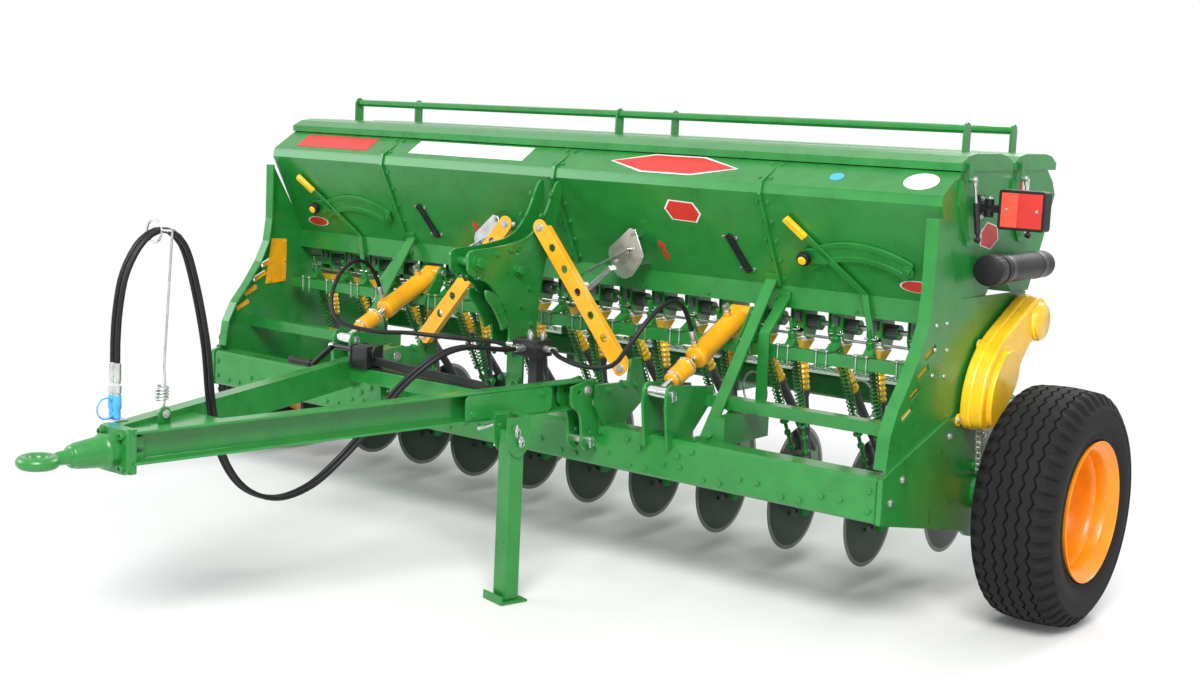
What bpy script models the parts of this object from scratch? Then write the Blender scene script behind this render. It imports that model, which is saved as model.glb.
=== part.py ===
"""Trailed grain drill: twenty disc openers in two rows under a twin-lid hopper, with a drawbar and two wheels."""

from math import atan2, cos, hypot, pi, radians, sin, tau

import bmesh
import bpy
from mathutils import Matrix, Vector

# The machine stands on z = 0 with its tow eye towards -y. Heights are true z. Depths (y) are measured from
# the front beam's front face, and one empty shifts them so that the whole machine is centred on the origin.

SEAT = 0.0003  # gap between pieces that touch

# Disc openers: two rows of ten, whose spacing sets the width of the whole machine
ROW_COUNT = 10
OPENER_PITCH = 0.290
FIRST_ROW_OFFSET = -0.099
DISC_RADIUS = 0.175
FRONT_DISC_Y = 0.563
FRONT_DISC_Z = 0.253
REAR_DISC_Y = 0.850
REAR_DISC_Z = 0.279
HUB_RADIUS = 0.034
HUB_HALF = 0.014
DISC_WAIST = 0.003
DISC_SIDES = 14

# Front beam
END_ROOM = 0.062  # from half a pitch beyond the last opener to the beam's end
BEAM_HALF = ROW_COUNT * OPENER_PITCH / 2 + END_ROOM
BEAM_DEPTH = 0.100
BEAM_HEIGHT = 0.140
BEAM_TOP = 0.520
BEAM_EDGE = 0.010
BEAM_BOTTOM = BEAM_TOP - BEAM_HEIGHT
BEAM_MIDDLE = BEAM_TOP - BEAM_HEIGHT / 2

# Wheels
WHEEL_RADIUS = 0.380
WHEEL_Y = 0.686
TYRE_WIDTH = 0.264
WHEEL_ROOM = 0.1247  # from the side shield's face to the tyre
RIM_RADIUS = 0.222
BEAD_RADIUS = 0.195

# Hopper
HOPPER_HALF = BEAM_HALF
SHEET = 0.004
RIM_Z = 1.428
FRONT_TOP_Y = 0.424
REAR_TOP_Y = 1.110
LID_SPLIT_Y = 0.812
LID_RISE = 0.054
LID_FRONT_Y = 0.413
LID_REAR_Y = 1.172
LID_GAP = 0.006
LID_RAIL_RADIUS = 0.014
LID_RAIL_HEIGHT = 0.075
LID_RAIL_INSET = 0.112
LID_RAIL_HALF = HOPPER_HALF - LID_RAIL_INSET
RIB_WIDTH = 0.012
RIB_HEIGHT = 0.010
RIB_SHARE = 0.576  # of the hopper's half width
RIB_X = HOPPER_HALF * RIB_SHARE

# Side plates
PLATE = 0.008
FLANGE = 0.042
SHIELD_OUT = 0.008

PLATE_IN_X = HOPPER_HALF + SEAT
PLATE_OUT_X = PLATE_IN_X + PLATE
SHIELD_X = PLATE_OUT_X + SHIELD_OUT
TYRE_OUTER_X = SHIELD_X + WHEEL_ROOM + TYRE_WIDTH

# Drawbar
EYE_Y = -1.852
EYE_Z = 0.582
EYE_RING = 0.041
EYE_SECTION = 0.018
HITCH_REACH = 0.252
FLANGE_Y = EYE_Y + HITCH_REACH
FLANGE_SIDE = 0.128
DRAWBAR_HEIGHT = 0.096
DRAWBAR_WIDTH = 0.050
DRAWBAR_REAR_X = 0.440
DRAWBAR_REAR_Y = -0.060
DRAWBAR_REAR_Z = 0.630

# Footboard, the rearmost piece
FOOTBOARD_REAR_Y = 1.390

CENTRE_Y = (FOOTBOARD_REAR_Y + EYE_Y - EYE_RING - EYE_SECTION) / 2

GREEN = ("green_paint", (0.016, 0.230, 0.045), 0.35, 0.0)
DARK_GREEN = ("disc_green", (0.010, 0.070, 0.020), 0.45, 0.2)
YELLOW = ("yellow_paint", (0.900, 0.560, 0.020), 0.35, 0.0)
AMBER = ("amber_paint", (0.900, 0.400, 0.020), 0.35, 0.0)
BLACK = ("black_plastic", (0.012, 0.012, 0.013), 0.50, 0.0)
RUBBER = ("tyre_rubber", (0.020, 0.020, 0.022), 0.80, 0.0)
STEEL = ("bright_steel", (0.600, 0.610, 0.620), 0.25, 1.0)


def clear_scene():
    for thing in list(bpy.data.objects):
        bpy.data.objects.remove(thing, do_unlink=True)


def material_of(paint):
    name, colour, roughness, metallic = paint
    found = bpy.data.materials.get(name)
    if found:
        return found
    made = bpy.data.materials.new(name)
    made.use_nodes = True
    surface = made.node_tree.nodes["Principled BSDF"]
    surface.inputs["Base Color"].default_value = (*colour, 1)
    surface.inputs["Roughness"].default_value = roughness
    surface.inputs["Metallic"].default_value = metallic
    made.diffuse_color = (*colour, 1)
    return made


def piece_of(shape):
    """A working solid, to be joined to others or finished as it is."""
    bmesh.ops.recalc_face_normals(shape, faces=shape.faces)
    mesh = bpy.data.meshes.new("piece")
    shape.to_mesh(mesh)
    shape.free()
    piece = bpy.data.objects.new("piece", mesh)
    return piece


def block(x, y, z, edge=0):
    """A box between two values of x, of y and of z, with its edges rounded off where edge is given."""
    shape = bmesh.new()
    bmesh.ops.create_cube(shape, size=1)
    for vert in shape.verts:
        vert.co = [low + (side + 0.5) * (high - low) for side, (low, high) in zip(vert.co, (x, y, z))]
    if edge:
        bmesh.ops.bevel(shape, geom=shape.edges[:], offset=edge, segments=1, affect="EDGES", profile=0.5)
    return piece_of(shape)


def prism(points, low, high, place):
    """An outline pushed from low to high. place turns (u, v, depth) into (x, y, z)."""
    shape = bmesh.new()
    near = [shape.verts.new(place(u, v, low)) for u, v in points]
    far = [shape.verts.new(place(u, v, high)) for u, v in points]
    shape.faces.new(near)
    shape.faces.new(far[::-1])
    for i in range(len(points)):
        j = (i + 1) % len(points)
        shape.faces.new((near[j], near[i], far[i], far[j]))
    return piece_of(shape)


def side_prism(points, x):
    """An outline of (y, z) points, pushed along x."""
    return prism(points, *x, lambda u, v, depth: (depth, u, v))


def plan_prism(points, z):
    """An outline of (x, y) points, pushed along z."""
    return prism(points, *z, lambda u, v, depth: (u, v, depth))


def front_prism(points, y):
    """An outline of (x, z) points, pushed along y."""
    return prism(points, *y, lambda u, v, depth: (u, depth, v))


def along(start, end):
    """The matrix that lays the z axis on the line from start to end, with its own x axis kept level."""
    run = Vector(end) - Vector(start)
    depth = run.normalized()
    level = Vector((1, 0, 0)) if abs(depth.x) < 0.99 else Vector((0, 1, 0))
    across = level.cross(depth).normalized()
    side = depth.cross(across)
    return Matrix((side, across, depth)).transposed().to_4x4(), run.length


def rod(start, end, radius, sides=10, end_radius=None):
    """A round bar, or a cone where end_radius is given."""
    turn, length = along(start, end)
    shape = bmesh.new()
    top = radius if end_radius is None else end_radius
    bmesh.ops.create_cone(shape, cap_ends=True, segments=sides, radius1=radius, radius2=top, depth=length)
    middle = (Vector(start) + Vector(end)) / 2
    bmesh.ops.transform(shape, matrix=Matrix.Translation(middle) @ turn, verts=shape.verts)
    return piece_of(shape)


def strap(start, end, width, thickness, roll=0.0):
    """A flat or square bar between two points. Width is level across the bar until roll turns it."""
    turn, length = along(start, end)
    shape = bmesh.new()
    bmesh.ops.create_cube(shape, size=1)
    bmesh.ops.scale(shape, vec=(width, thickness, length), verts=shape.verts)
    middle = (Vector(start) + Vector(end)) / 2
    place = Matrix.Translation(middle) @ turn @ Matrix.Rotation(roll, 4, "Z")
    bmesh.ops.transform(shape, matrix=place, verts=shape.verts)
    return piece_of(shape)


def section_bar(start, end, outline, across, up):
    """A rolled section: its outline of (across, up) points pushed from start to end."""
    shape = bmesh.new()
    rings = []
    for base in (Vector(start), Vector(end)):
        rings.append([shape.verts.new(base + across * u + up * v) for u, v in outline])
    shape.faces.new(rings[0])
    shape.faces.new(rings[1][::-1])
    for i in range(len(outline)):
        j = (i + 1) % len(outline)
        shape.faces.new((rings[0][j], rings[0][i], rings[1][i], rings[1][j]))
    return piece_of(shape)


def channel(half_width, half_height, thick):
    """A channel's section, with its web on the positive side of the first axis."""
    wide, high = half_width, half_height
    return [
        (-wide, -high),
        (wide, -high),
        (wide, high),
        (-wide, high),
        (-wide, high - thick),
        (wide - thick, high - thick),
        (wide - thick, -high + thick),
        (-wide, -high + thick),
    ]


def turned(profile, centre, axis="X", sides=24):
    """A solid of revolution from (radius, distance along the axis) points, open or closed as a loop."""
    shape = bmesh.new()
    loop = [shape.verts.new((0, radius, run)) for radius, run in profile]
    closed = profile[0][0] > 0 and profile[-1][0] > 0
    edges = [shape.edges.new(pair) for pair in zip(loop, loop[1:])]
    if closed:
        edges.append(shape.edges.new((loop[-1], loop[0])))
    bmesh.ops.spin(
        shape, geom=loop + edges, cent=(0, 0, 0), axis=(0, 0, 1), angle=tau, steps=sides, use_merge=True
    )
    bmesh.ops.remove_doubles(shape, verts=shape.verts, dist=SEAT / 3)
    turns = {
        "X": Matrix.Rotation(pi / 2, 4, "Y"),
        "Y": Matrix.Rotation(-pi / 2, 4, "X"),
        "Z": Matrix.Identity(4),
    }
    bmesh.ops.transform(shape, matrix=Matrix.Translation(centre) @ turns[axis], verts=shape.verts)
    return piece_of(shape)


def arc(centre, radius, start, end, steps):
    """Points on an arc, in degrees from the first axis of the outline."""
    angles = [radians(start + (end - start) * i / steps) for i in range(steps + 1)]
    return [(centre[0] + radius * cos(a), centre[1] + radius * sin(a)) for a in angles]


def degrees_of(u, v):
    return atan2(v, u) * 180 / pi


def evaluated_mesh(thing):
    bpy.context.view_layer.update()
    graph = bpy.context.evaluated_depsgraph_get()
    return bpy.data.meshes.new_from_object(thing.evaluated_get(graph))


def boolean(base, others, operation):
    """base with all the others joined to it or cut from it."""
    group = bpy.data.collections.new("operands")
    bpy.context.scene.collection.children.link(group)
    for other in others:
        group.objects.link(other)
    bpy.context.scene.collection.objects.link(base)
    change = base.modifiers.new(operation.title(), "BOOLEAN")
    change.operation = operation
    change.solver = "EXACT"
    change.operand_type = "COLLECTION"
    change.collection = group
    result = bpy.data.objects.new("piece", evaluated_mesh(base))
    for used in (base, *others):
        bpy.data.objects.remove(used, do_unlink=True)
    bpy.data.collections.remove(group)
    return result


def join(pieces):
    """One working solid from overlapping ones."""
    if len(pieces) == 1:
        return pieces[0]
    return boolean(pieces[0], pieces[1:], "UNION")


def cut(piece, cutters):
    return boolean(piece, cutters, "DIFFERENCE")


def copy_at(piece, offsets):
    """Copies of a working solid, each moved by an offset; the first offset moves the solid itself."""
    copies = [piece] + [bpy.data.objects.new("piece", piece.data.copy()) for _ in offsets[1:]]
    for copy, offset in zip(copies, offsets):
        copy.data.transform(Matrix.Translation(offset))
    return copies


def mirrored(piece):
    """A copy of a working solid on the other side of x = 0."""
    other = bpy.data.objects.new("piece", piece.data.copy())
    other.data.transform(Matrix.Scale(-1, 4, (1, 0, 0)))
    other.data.flip_normals()
    return other


def finish(name, piece, paint, pivot=(0, 0, 0), parent=None):
    """Names a working solid, paints it and puts its origin on its pivot."""
    piece.name = name
    piece.data.name = name
    piece.data.transform(Matrix.Translation(-Vector(pivot)))
    piece.location = pivot
    piece.data.materials.clear()
    piece.data.materials.append(material_of(paint))
    piece.data.shade_smooth()
    piece.data.set_sharp_from_angle(angle=radians(35))
    bpy.context.scene.collection.objects.link(piece)
    piece.parent = parent or machine
    return piece


def opener_xs(row):
    """The x of each disc in a row: 0 is the front row and 1 the rear row, half a pitch further on."""
    first = FIRST_ROW_OFFSET + row * OPENER_PITCH / 2
    return [(i - (ROW_COUNT - 1) / 2) * OPENER_PITCH + first for i in range(ROW_COUNT)]


# Pivot bar that all the coulter arms swing on, behind the front beam
PIVOT_Y = 0.142
PIVOT_Z = 0.430
PIVOT_RADIUS = 0.012
PIVOT_BOSS = 0.022
BRACKET_WIDTH = 0.050
BRACKET_HEIGHT = 0.080
ARM_SHIFT = 0.030  # from a disc's middle to its arm's middle

# Cylinder line, from the clevis on the front beam to the lever on the rockshaft
CYLINDER_SHARE = 2.5  # openers' pitches from the middle to a cylinder
CYLINDER_X = OPENER_PITCH * CYLINDER_SHARE
CLEVIS_GAP = 0.080
CLEVIS_PLATE = 0.010
ROD_EYE_Y = -0.010
ROD_EYE_Z = 0.668
LEVER_PIN_Y = 0.468
LEVER_PIN_Z = 0.895

# Drawbar brackets on the front beam
BRACKET_X = 0.490
BRACKET_PLATE = 0.012
BRACKET_REAR_Y = 0.235
EAR_PIN_Z = 0.475
EAR_PIN_Y = -0.050
EAR_RADIUS = 0.042
BRACE_Y = 0.158
BRACE_FOOT_Z = 0.690

# Struts from the beam up to the hopper's slope, and bent hangers behind them under its skirt
STRUT_WIDTH = 0.042
STRUT_PLAY = 0.001
STRUT_X = RIB_X - (RIB_WIDTH + STRUT_WIDTH) / 2 - STRUT_PLAY
STRUT_THICK = 0.008
STRUT_FOOT_Y = 0.085
STRUT_TOP_Z = 1.026
STRUT_TAB = 0.040
HANGER_OUT = 0.022
HANGER_X = RIB_X + HANGER_OUT
HANGER_WIDTH = 0.040
HANGER_Y = 0.345
HANGER_KNEE_Z = 0.850
HANGER_TOP_Z = 0.986
LINK_HALF = 0.022
LINK_LOW = 0.505
LINK_HIGH = 0.598


def front_beam():
    body = block((-BEAM_HALF, BEAM_HALF), (0, BEAM_DEPTH), (BEAM_BOTTOM, BEAM_TOP), BEAM_EDGE)
    bracket = block(
        (-BRACKET_WIDTH / 2, BRACKET_WIDTH / 2),
        (BEAM_DEPTH - BEAM_EDGE, PIVOT_Y - PIVOT_BOSS - SEAT),
        (PIVOT_Z - BRACKET_HEIGHT / 2, PIVOT_Z + BRACKET_HEIGHT / 2),
    )
    xs = [x + ARM_SHIFT for row in range(2) for x in opener_xs(row)]
    pieces = [body] + copy_at(bracket, [(x, 0, 0) for x in xs])
    top = ROD_EYE_Z + EAR_RADIUS / 2
    clevis = [
        (-EAR_RADIUS / 2, BEAM_MIDDLE + BEAM_HEIGHT / 4),
        (-EAR_RADIUS, ROD_EYE_Z - EAR_RADIUS),
        *arc((ROD_EYE_Y, ROD_EYE_Z), EAR_RADIUS / 1.4, 180, 80, 4),
        (BRACKET_REAR_Y, top - EAR_RADIUS / 2),
        (BRACKET_REAR_Y, top - EAR_RADIUS * 1.5),
        (BEAM_DEPTH, BEAM_TOP - BEAM_EDGE),
        (BEAM_DEPTH / 2, BEAM_MIDDLE + BEAM_HEIGHT / 4),
    ]
    for side in (-1, 1):
        for way in (-1, 1):
            middle = side * CYLINDER_X + way * (CLEVIS_GAP + CLEVIS_PLATE) / 2
            pieces.append(side_prism(clevis, (middle - CLEVIS_PLATE / 2, middle + CLEVIS_PLATE / 2)))
        pieces.append(drawbar_bracket(side * BRACKET_X))
        pieces += strut(side * STRUT_X) + hanger(side * HANGER_X)
    finish("front_beam", join(pieces), GREEN)


def strut(x):
    """A flat bar from the beam's top to a tab that lies on the hopper's slope."""
    half = STRUT_WIDTH / 2
    low = (x, STRUT_FOOT_Y, BEAM_TOP - BEAM_EDGE)
    top = panel_place(x, STRUT_TOP_Z, STRUT_THICK / 2 + SEAT)
    heights = (STRUT_TOP_Z - STRUT_TAB / 2, STRUT_TOP_Z + STRUT_TAB / 2)
    tab = [(x - half, heights[0]), (x + half, heights[0]), (x + half, heights[1]), (x - half, heights[1])]
    foot = block((x - half, x + half), (low[1] - half, BEAM_DEPTH), (BEAM_TOP - SEAT, BEAM_TOP + STRUT_THICK))
    flat = prism(tab, SEAT, SEAT + STRUT_THICK, panel_place)
    return [strap(low, top, STRUT_WIDTH, STRUT_THICK), flat, foot]


def hanger(x):
    """A bent flat bar from a link behind the beam up to the hopper's skirt."""
    half, reach = HANGER_WIDTH / 2, STRUT_THICK / 2
    skirt = SLOPE_FOOT[0] - SEAT
    side = [
        (HANGER_Y - reach, LINK_HIGH - reach),
        (HANGER_Y - reach, HANGER_KNEE_Z + reach),
        (skirt - STRUT_THICK, HANGER_TOP_Z - STRUT_TAB / 2 + reach),
        (skirt - STRUT_THICK, HANGER_TOP_Z),
        (skirt, HANGER_TOP_Z),
        (skirt, HANGER_TOP_Z - STRUT_TAB / 2 - reach),
        (HANGER_Y + reach, HANGER_KNEE_Z - reach),
        (HANGER_Y + reach, LINK_HIGH - reach),
    ]
    bent = side_prism(side, (x - half, x + half))
    link = block(
        (x - LINK_HALF, x + LINK_HALF),
        (BEAM_DEPTH - BEAM_EDGE, HANGER_Y + LINK_HALF),
        (LINK_LOW, LINK_HIGH),
    )
    return [bent, link]


def drawbar_bracket(x):
    """The plate that stands on the beam beside the drawbar's rear end and holds the brace's foot."""
    outline = [
        (BEAM_DEPTH / 4, BEAM_TOP - BEAM_EDGE * 2),
        (-SEAT * 10, BEAM_TOP + BEAM_EDGE),
        (-EAR_RADIUS, DRAWBAR_REAR_Z - EAR_RADIUS),
        (-EAR_RADIUS, DRAWBAR_REAR_Z + EAR_RADIUS * 0.8),
        (BRACE_Y - EAR_RADIUS * 0.5, DRAWBAR_REAR_Z + EAR_RADIUS * 0.6),
        (BRACE_Y - EAR_RADIUS * 0.2, BRACE_FOOT_Z + EAR_RADIUS),
        (BRACE_Y + EAR_RADIUS, BRACE_FOOT_Z + EAR_RADIUS),
        (BRACKET_REAR_Y, DRAWBAR_REAR_Z + EAR_RADIUS * 0.1),
        (BRACKET_REAR_Y, DRAWBAR_REAR_Z - EAR_RADIUS),
        (BEAM_DEPTH * 0.9, BEAM_TOP - BEAM_EDGE * 2),
    ]
    return side_prism(outline, (x - BRACKET_PLATE / 2, x + BRACKET_PLATE / 2))


# Upright side plate: its curved front edge, and the shield that carries the wheel
PLATE_FRONT = [(0.030, 0.540), (0.045, 0.640), (0.085, 0.715), (0.150, 0.790), (0.215, 0.880), (0.258, 0.965)]
PLATE_TOP = [(0.272, 1.060), (0.272, 1.285), (0.302, 1.285)]
PLATE_SEAM = (0.470, 1.026)
PLATE_REAR = [(0.980, 1.022), (0.950, 0.900), (0.900, 0.600)]
SHIELD_TOP = (0.430, 0.650)
SHIELD_REAR = [(1.010, 0.650), (1.010, 0.420)]
SHIELD_LOW = 0.225
AXLE_BOSS_RADIUS = 0.062
AXLE_BOSS_LENGTH = 0.030
RAIL_HEIGHT = 0.040
RAIL_DEPTH = 0.050
RAIL_TOP = 0.647
RAIL_Y = 0.190
SLOT_COUNT = 4
SLOT_LOW_Z = 0.700
SLOT_STEP = 0.058
SLOT_LENGTH = 0.075
SLOT_WIDTH = 0.022
SLOT_BACK = 0.070  # from the plate's front edge to a slot's middle
SLOT_RISE_SHARE = 0.45


def offset_line(points, distance):
    """The same open line moved sideways by a distance, to its left."""
    moved = []
    for i, (u, v) in enumerate(points):
        before = points[max(i - 1, 0)]
        after = points[min(i + 1, len(points) - 1)]
        du, dv = after[0] - before[0], after[1] - before[1]
        size = hypot(du, dv)
        moved.append((u - dv / size * distance, v + du / size * distance))
    return moved


def side_slots():
    """Cutters for the slanted slots that follow the side plate's front edge."""
    cutters = []
    for i in range(SLOT_COUNT):
        z = SLOT_LOW_Z + i * SLOT_STEP
        below, above = [pair for pair in zip(PLATE_FRONT, PLATE_FRONT[1:]) if pair[0][1] <= z < pair[1][1]][0]
        share = (z - below[1]) / (above[1] - below[1])
        y = below[0] + share * (above[0] - below[0]) + SLOT_BACK
        lean = Vector((0, 1, SLOT_RISE_SHARE)).normalized() * SLOT_LENGTH / 2
        middle = Vector((PLATE_IN_X, y, z))
        cutters.append(strap(middle - lean, middle + lean, FLANGE, SLOT_WIDTH))
    return cutters


def side_plate(side, name):
    front = PLATE_FRONT + PLATE_TOP[:2]
    upper = [(SHIELD_TOP[0], BEAM_TOP + BEAM_EDGE)] + [(front[0][0], BEAM_TOP + BEAM_EDGE)]
    outline = upper[1:] + front + [PLATE_TOP[2], PLATE_SEAM] + PLATE_REAR
    plate = side_prism(outline, (PLATE_IN_X, PLATE_OUT_X))
    edge = front + offset_line(front, -PLATE)[::-1]
    flange = side_prism(edge, (PLATE_OUT_X - FLANGE, PLATE_OUT_X))
    low = [
        (0, BEAM_BOTTOM),
        (0, BEAM_TOP),
        (BEAM_DEPTH * 0.8, BEAM_TOP + BEAM_EDGE * 2.5),
        SHIELD_TOP,
        *SHIELD_REAR,
        *arc((WHEEL_Y, WHEEL_RADIUS), WHEEL_RADIUS - SHIELD_LOW, -20, -130, 6),
    ]
    shield = side_prism(low, (PLATE_IN_X, SHIELD_X))
    boss = rod(
        (SHIELD_X - PLATE / 2, WHEEL_Y, WHEEL_RADIUS),
        (SHIELD_X + AXLE_BOSS_LENGTH, WHEEL_Y, WHEEL_RADIUS),
        AXLE_BOSS_RADIUS,
        16,
    )
    rail = block(
        (CYLINDER_X + CLEVIS_GAP / 2 + CLEVIS_PLATE + SEAT, PLATE_IN_X + PLATE / 2),
        (RAIL_Y, RAIL_Y + RAIL_DEPTH),
        (RAIL_TOP - RAIL_HEIGHT, RAIL_TOP),
    )
    plate = cut(join([plate, flange, shield, boss, rail]), side_slots())
    if side < 0:
        plate = mirrored(plate)
    finish(name, plate, GREEN)


# Frame behind the openers, with the footboard on it
REAR_BEAM_Y = 0.930
REAR_BEAM_SIDE = 0.080
REAR_BEAM_TOP = 0.640
POST_SHARES = (-0.794, -0.265, 0.265, 0.794)  # of the hopper's half width
POST_SIDE = 0.060
FOOTBOARD_Z = 0.560
FOOTBOARD_THICK = 0.030
FOOTBOARD_FRONT_Y = 1.150
FOOTBOARD_INSET = 0.112
FOOTBOARD_HALF = HOPPER_HALF - FOOTBOARD_INSET
FOOTBOARD_ARM = 0.040
HOPPER_FLOOR = 1.022


def rear_frame():
    beam = block(
        (-HOPPER_HALF, HOPPER_HALF),
        (REAR_BEAM_Y, REAR_BEAM_Y + REAR_BEAM_SIDE),
        (REAR_BEAM_TOP - REAR_BEAM_SIDE, REAR_BEAM_TOP),
        BEAM_EDGE,
    )
    pieces = [beam]
    for share in POST_SHARES:
        x = share * HOPPER_HALF
        half, arm = POST_SIDE / 2, FOOTBOARD_ARM / 2
        rear = REAR_BEAM_Y + REAR_BEAM_SIDE / 2
        post, bracket = (x - half, x + half), (x - arm, x + arm)
        arm_low = FOOTBOARD_Z - FOOTBOARD_ARM
        hook = (rear, REAR_BEAM_Y + REAR_BEAM_SIDE + arm)
        pieces += [
            block(post, (rear - half, rear + half), (REAR_BEAM_TOP - half, HOPPER_FLOOR)),
            block(bracket, (rear, FOOTBOARD_REAR_Y), (arm_low, FOOTBOARD_Z + SEAT)),
            block(bracket, hook, (arm_low, REAR_BEAM_TOP - half)),
        ]
    board = block(
        (-FOOTBOARD_HALF, FOOTBOARD_HALF),
        (FOOTBOARD_FRONT_Y, FOOTBOARD_REAR_Y),
        (FOOTBOARD_Z, FOOTBOARD_Z + FOOTBOARD_THICK),
    )
    pieces.append(board)
    finish("rear_frame", join(pieces), GREEN)


# Hopper section: two tanks side by side, each narrowing to its outlets
FOLD_Y = 0.300
FOLD_LEAN = 0.006
FOLD_HIGH = 1.354
FOLD_LOW = 1.321
SLOPE_FOOT = (0.472, 1.005)
SKIRT_LOW = 0.932
REAR_BULGE = [(1.164, 1.387), (1.191, 1.342), (1.115, 1.188)]
REAR_FOOT = (1.018, HOPPER_FLOOR)
TANK_FLOOR = 0.945
OUTLET_HALF = 0.045
FRONT_OUTLET_Y = 0.560
REAR_OUTLET_Y = 0.930
RIDGE_Z = 1.110
RIB_XS = (-RIB_X, 0, RIB_X)
SECTOR_SHARES = (-0.741, 0.780)  # of the hopper's half width
SECTOR_TOP_Z = 1.180
SECTOR_RADIUS = 0.420
SECTOR_WIDTH = 0.420
SECTOR_HEIGHT = 0.060
GAS_BRACKET = 0.008


def hopper_outside():
    """The hopper's outline in (y, z), from the front top edge round under the tanks."""
    return [
        (FRONT_TOP_Y, RIM_Z),
        (FOLD_Y + FOLD_LEAN, FOLD_HIGH),
        (FOLD_Y, FOLD_LOW),
        SLOPE_FOOT,
        (SLOPE_FOOT[0], SKIRT_LOW),
        (SLOPE_FOOT[0] + SHEET, SKIRT_LOW),
        (FRONT_OUTLET_Y - OUTLET_HALF, TANK_FLOOR),
        (FRONT_OUTLET_Y + OUTLET_HALF, TANK_FLOOR),
        ((FRONT_OUTLET_Y + REAR_OUTLET_Y) / 2, RIDGE_Z),
        (REAR_OUTLET_Y - OUTLET_HALF, HOPPER_FLOOR),
        REAR_FOOT,
        *REAR_BULGE[::-1],
        (REAR_TOP_Y, RIM_Z),
    ]


def hopper():
    body = side_prism(hopper_outside(), (-HOPPER_HALF, HOPPER_HALF))
    inside = (-HOPPER_HALF + SHEET, HOPPER_HALF - SHEET)
    open_top = RIM_Z + SHEET
    wall = SHEET * 1.3
    front_tank = [
        (FRONT_TOP_Y + wall, open_top),
        (FRONT_TOP_Y + wall, RIM_Z - SHEET),
        (FOLD_Y + wall, FOLD_HIGH - SHEET),
        (FOLD_Y + wall, FOLD_LOW),
        (SLOPE_FOOT[0] + wall * 1.5, SLOPE_FOOT[1]),
        (FRONT_OUTLET_Y - OUTLET_HALF + wall, TANK_FLOOR + SHEET),
        (FRONT_OUTLET_Y + OUTLET_HALF - wall, TANK_FLOOR + SHEET),
        (LID_SPLIT_Y - wall * 5, RIDGE_Z + wall * 5),
        (LID_SPLIT_Y - wall * 2, open_top),
    ]
    rear_tank = [
        (LID_SPLIT_Y + wall * 2, open_top),
        (LID_SPLIT_Y + wall * 2, RIDGE_Z + wall * 5),
        (REAR_OUTLET_Y - OUTLET_HALF + wall, HOPPER_FLOOR + SHEET),
        (REAR_FOOT[0] - wall, HOPPER_FLOOR + SHEET),
        *[(y - wall, z) for y, z in REAR_BULGE[::-1]],
        (REAR_TOP_Y - wall, RIM_Z - SHEET),
        (REAR_TOP_Y - wall, open_top),
    ]
    pieces = [cut(body, [side_prism(front_tank, inside), side_prism(rear_tank, inside)])]
    pieces += hopper_ribs() + sector_plates() + spring_brackets()
    finish("hopper", join(pieces), GREEN)


def hopper_ribs():
    brow = (FRONT_TOP_Y - RIB_HEIGHT, RIM_Z - RIB_HEIGHT * 2)
    face = [brow, (FOLD_Y + FOLD_LEAN, FOLD_HIGH), (FOLD_Y, FOLD_LOW), SLOPE_FOOT]
    outer = offset_line(face, -RIB_HEIGHT)
    inner = offset_line(face, SHEET / 2)
    shape = outer + inner[::-1]
    return [side_prism(shape, (x - RIB_WIDTH / 2, x + RIB_WIDTH / 2)) for x in RIB_XS]


def on_panel(height, out=0.0):
    """The (y, z) of a point on the sloping front panel at a height, moved out from it."""
    share = (FOLD_LOW - height) / (FOLD_LOW - SLOPE_FOOT[1])
    run_y, run_z = SLOPE_FOOT[0] - FOLD_Y, SLOPE_FOOT[1] - FOLD_LOW
    length = hypot(run_y, run_z)
    return FOLD_Y + share * run_y + out * run_z / length, height - out * run_y / length


def panel_place(u, v, depth):
    """Turns x, a height on the front panel and a distance out from it into (x, y, z)."""
    y, z = on_panel(v, depth)
    return u, y, z


def sector_plates():
    """The two curved guide plates that the shutter levers move along."""
    plates = []
    for share in SECTOR_SHARES:
        centre = (share * HOPPER_HALF, SECTOR_TOP_Z - SECTOR_RADIUS)
        spread = SECTOR_WIDTH / 2 / SECTOR_RADIUS * 180 / pi
        outer = arc(centre, SECTOR_RADIUS, 90 + spread, 90 - spread, 8)
        inner = arc(centre, SECTOR_RADIUS - SECTOR_HEIGHT, 90 - spread, 90 + spread, 8)
        plates.append(prism(outer + inner, -SHEET, STRUT_THICK, panel_place))
    return plates


def spring_brackets():
    """Curved lugs on each end panel that hold the lid springs' lower pins."""
    lugs = []
    for y in (SPRING_LOW_Y, SPRING_LOW_Y + SPRING_STEP):
        outline = [(y + u * LUG_REACH, SPRING_LOW_Z + v * LUG_RISE) for u, v in LUG_SHARES]
        lugs.append(side_prism(outline, (HOPPER_HALF - SHEET / 2, PLATE_IN_X + GAS_BRACKET)))
    return lugs


# Lid springs on the left end: lower pins on the end panel, upper pins on the lids
SPRING_OUT = 0.0197
SPRING_X = PLATE_OUT_X + SPRING_OUT
SPRING_LOW_Y = 0.518
SPRING_LOW_Z = 1.213
SPRING_TOP_Y = 0.463
SPRING_TOP_Z = 1.402
SPRING_STEP = 0.398
SPRING_TUBE = 0.010
SPRING_ROD = 0.005
LID_AXIS_Z = RIM_Z + LID_RISE * 0.46
LUG_THICK = 0.005
LUG_FACE_X = SPRING_X - SPRING_TUBE * 1.2
SPRING_PIN = 0.007
LUG_REACH = 0.112
LUG_RISE = 0.187
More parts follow.
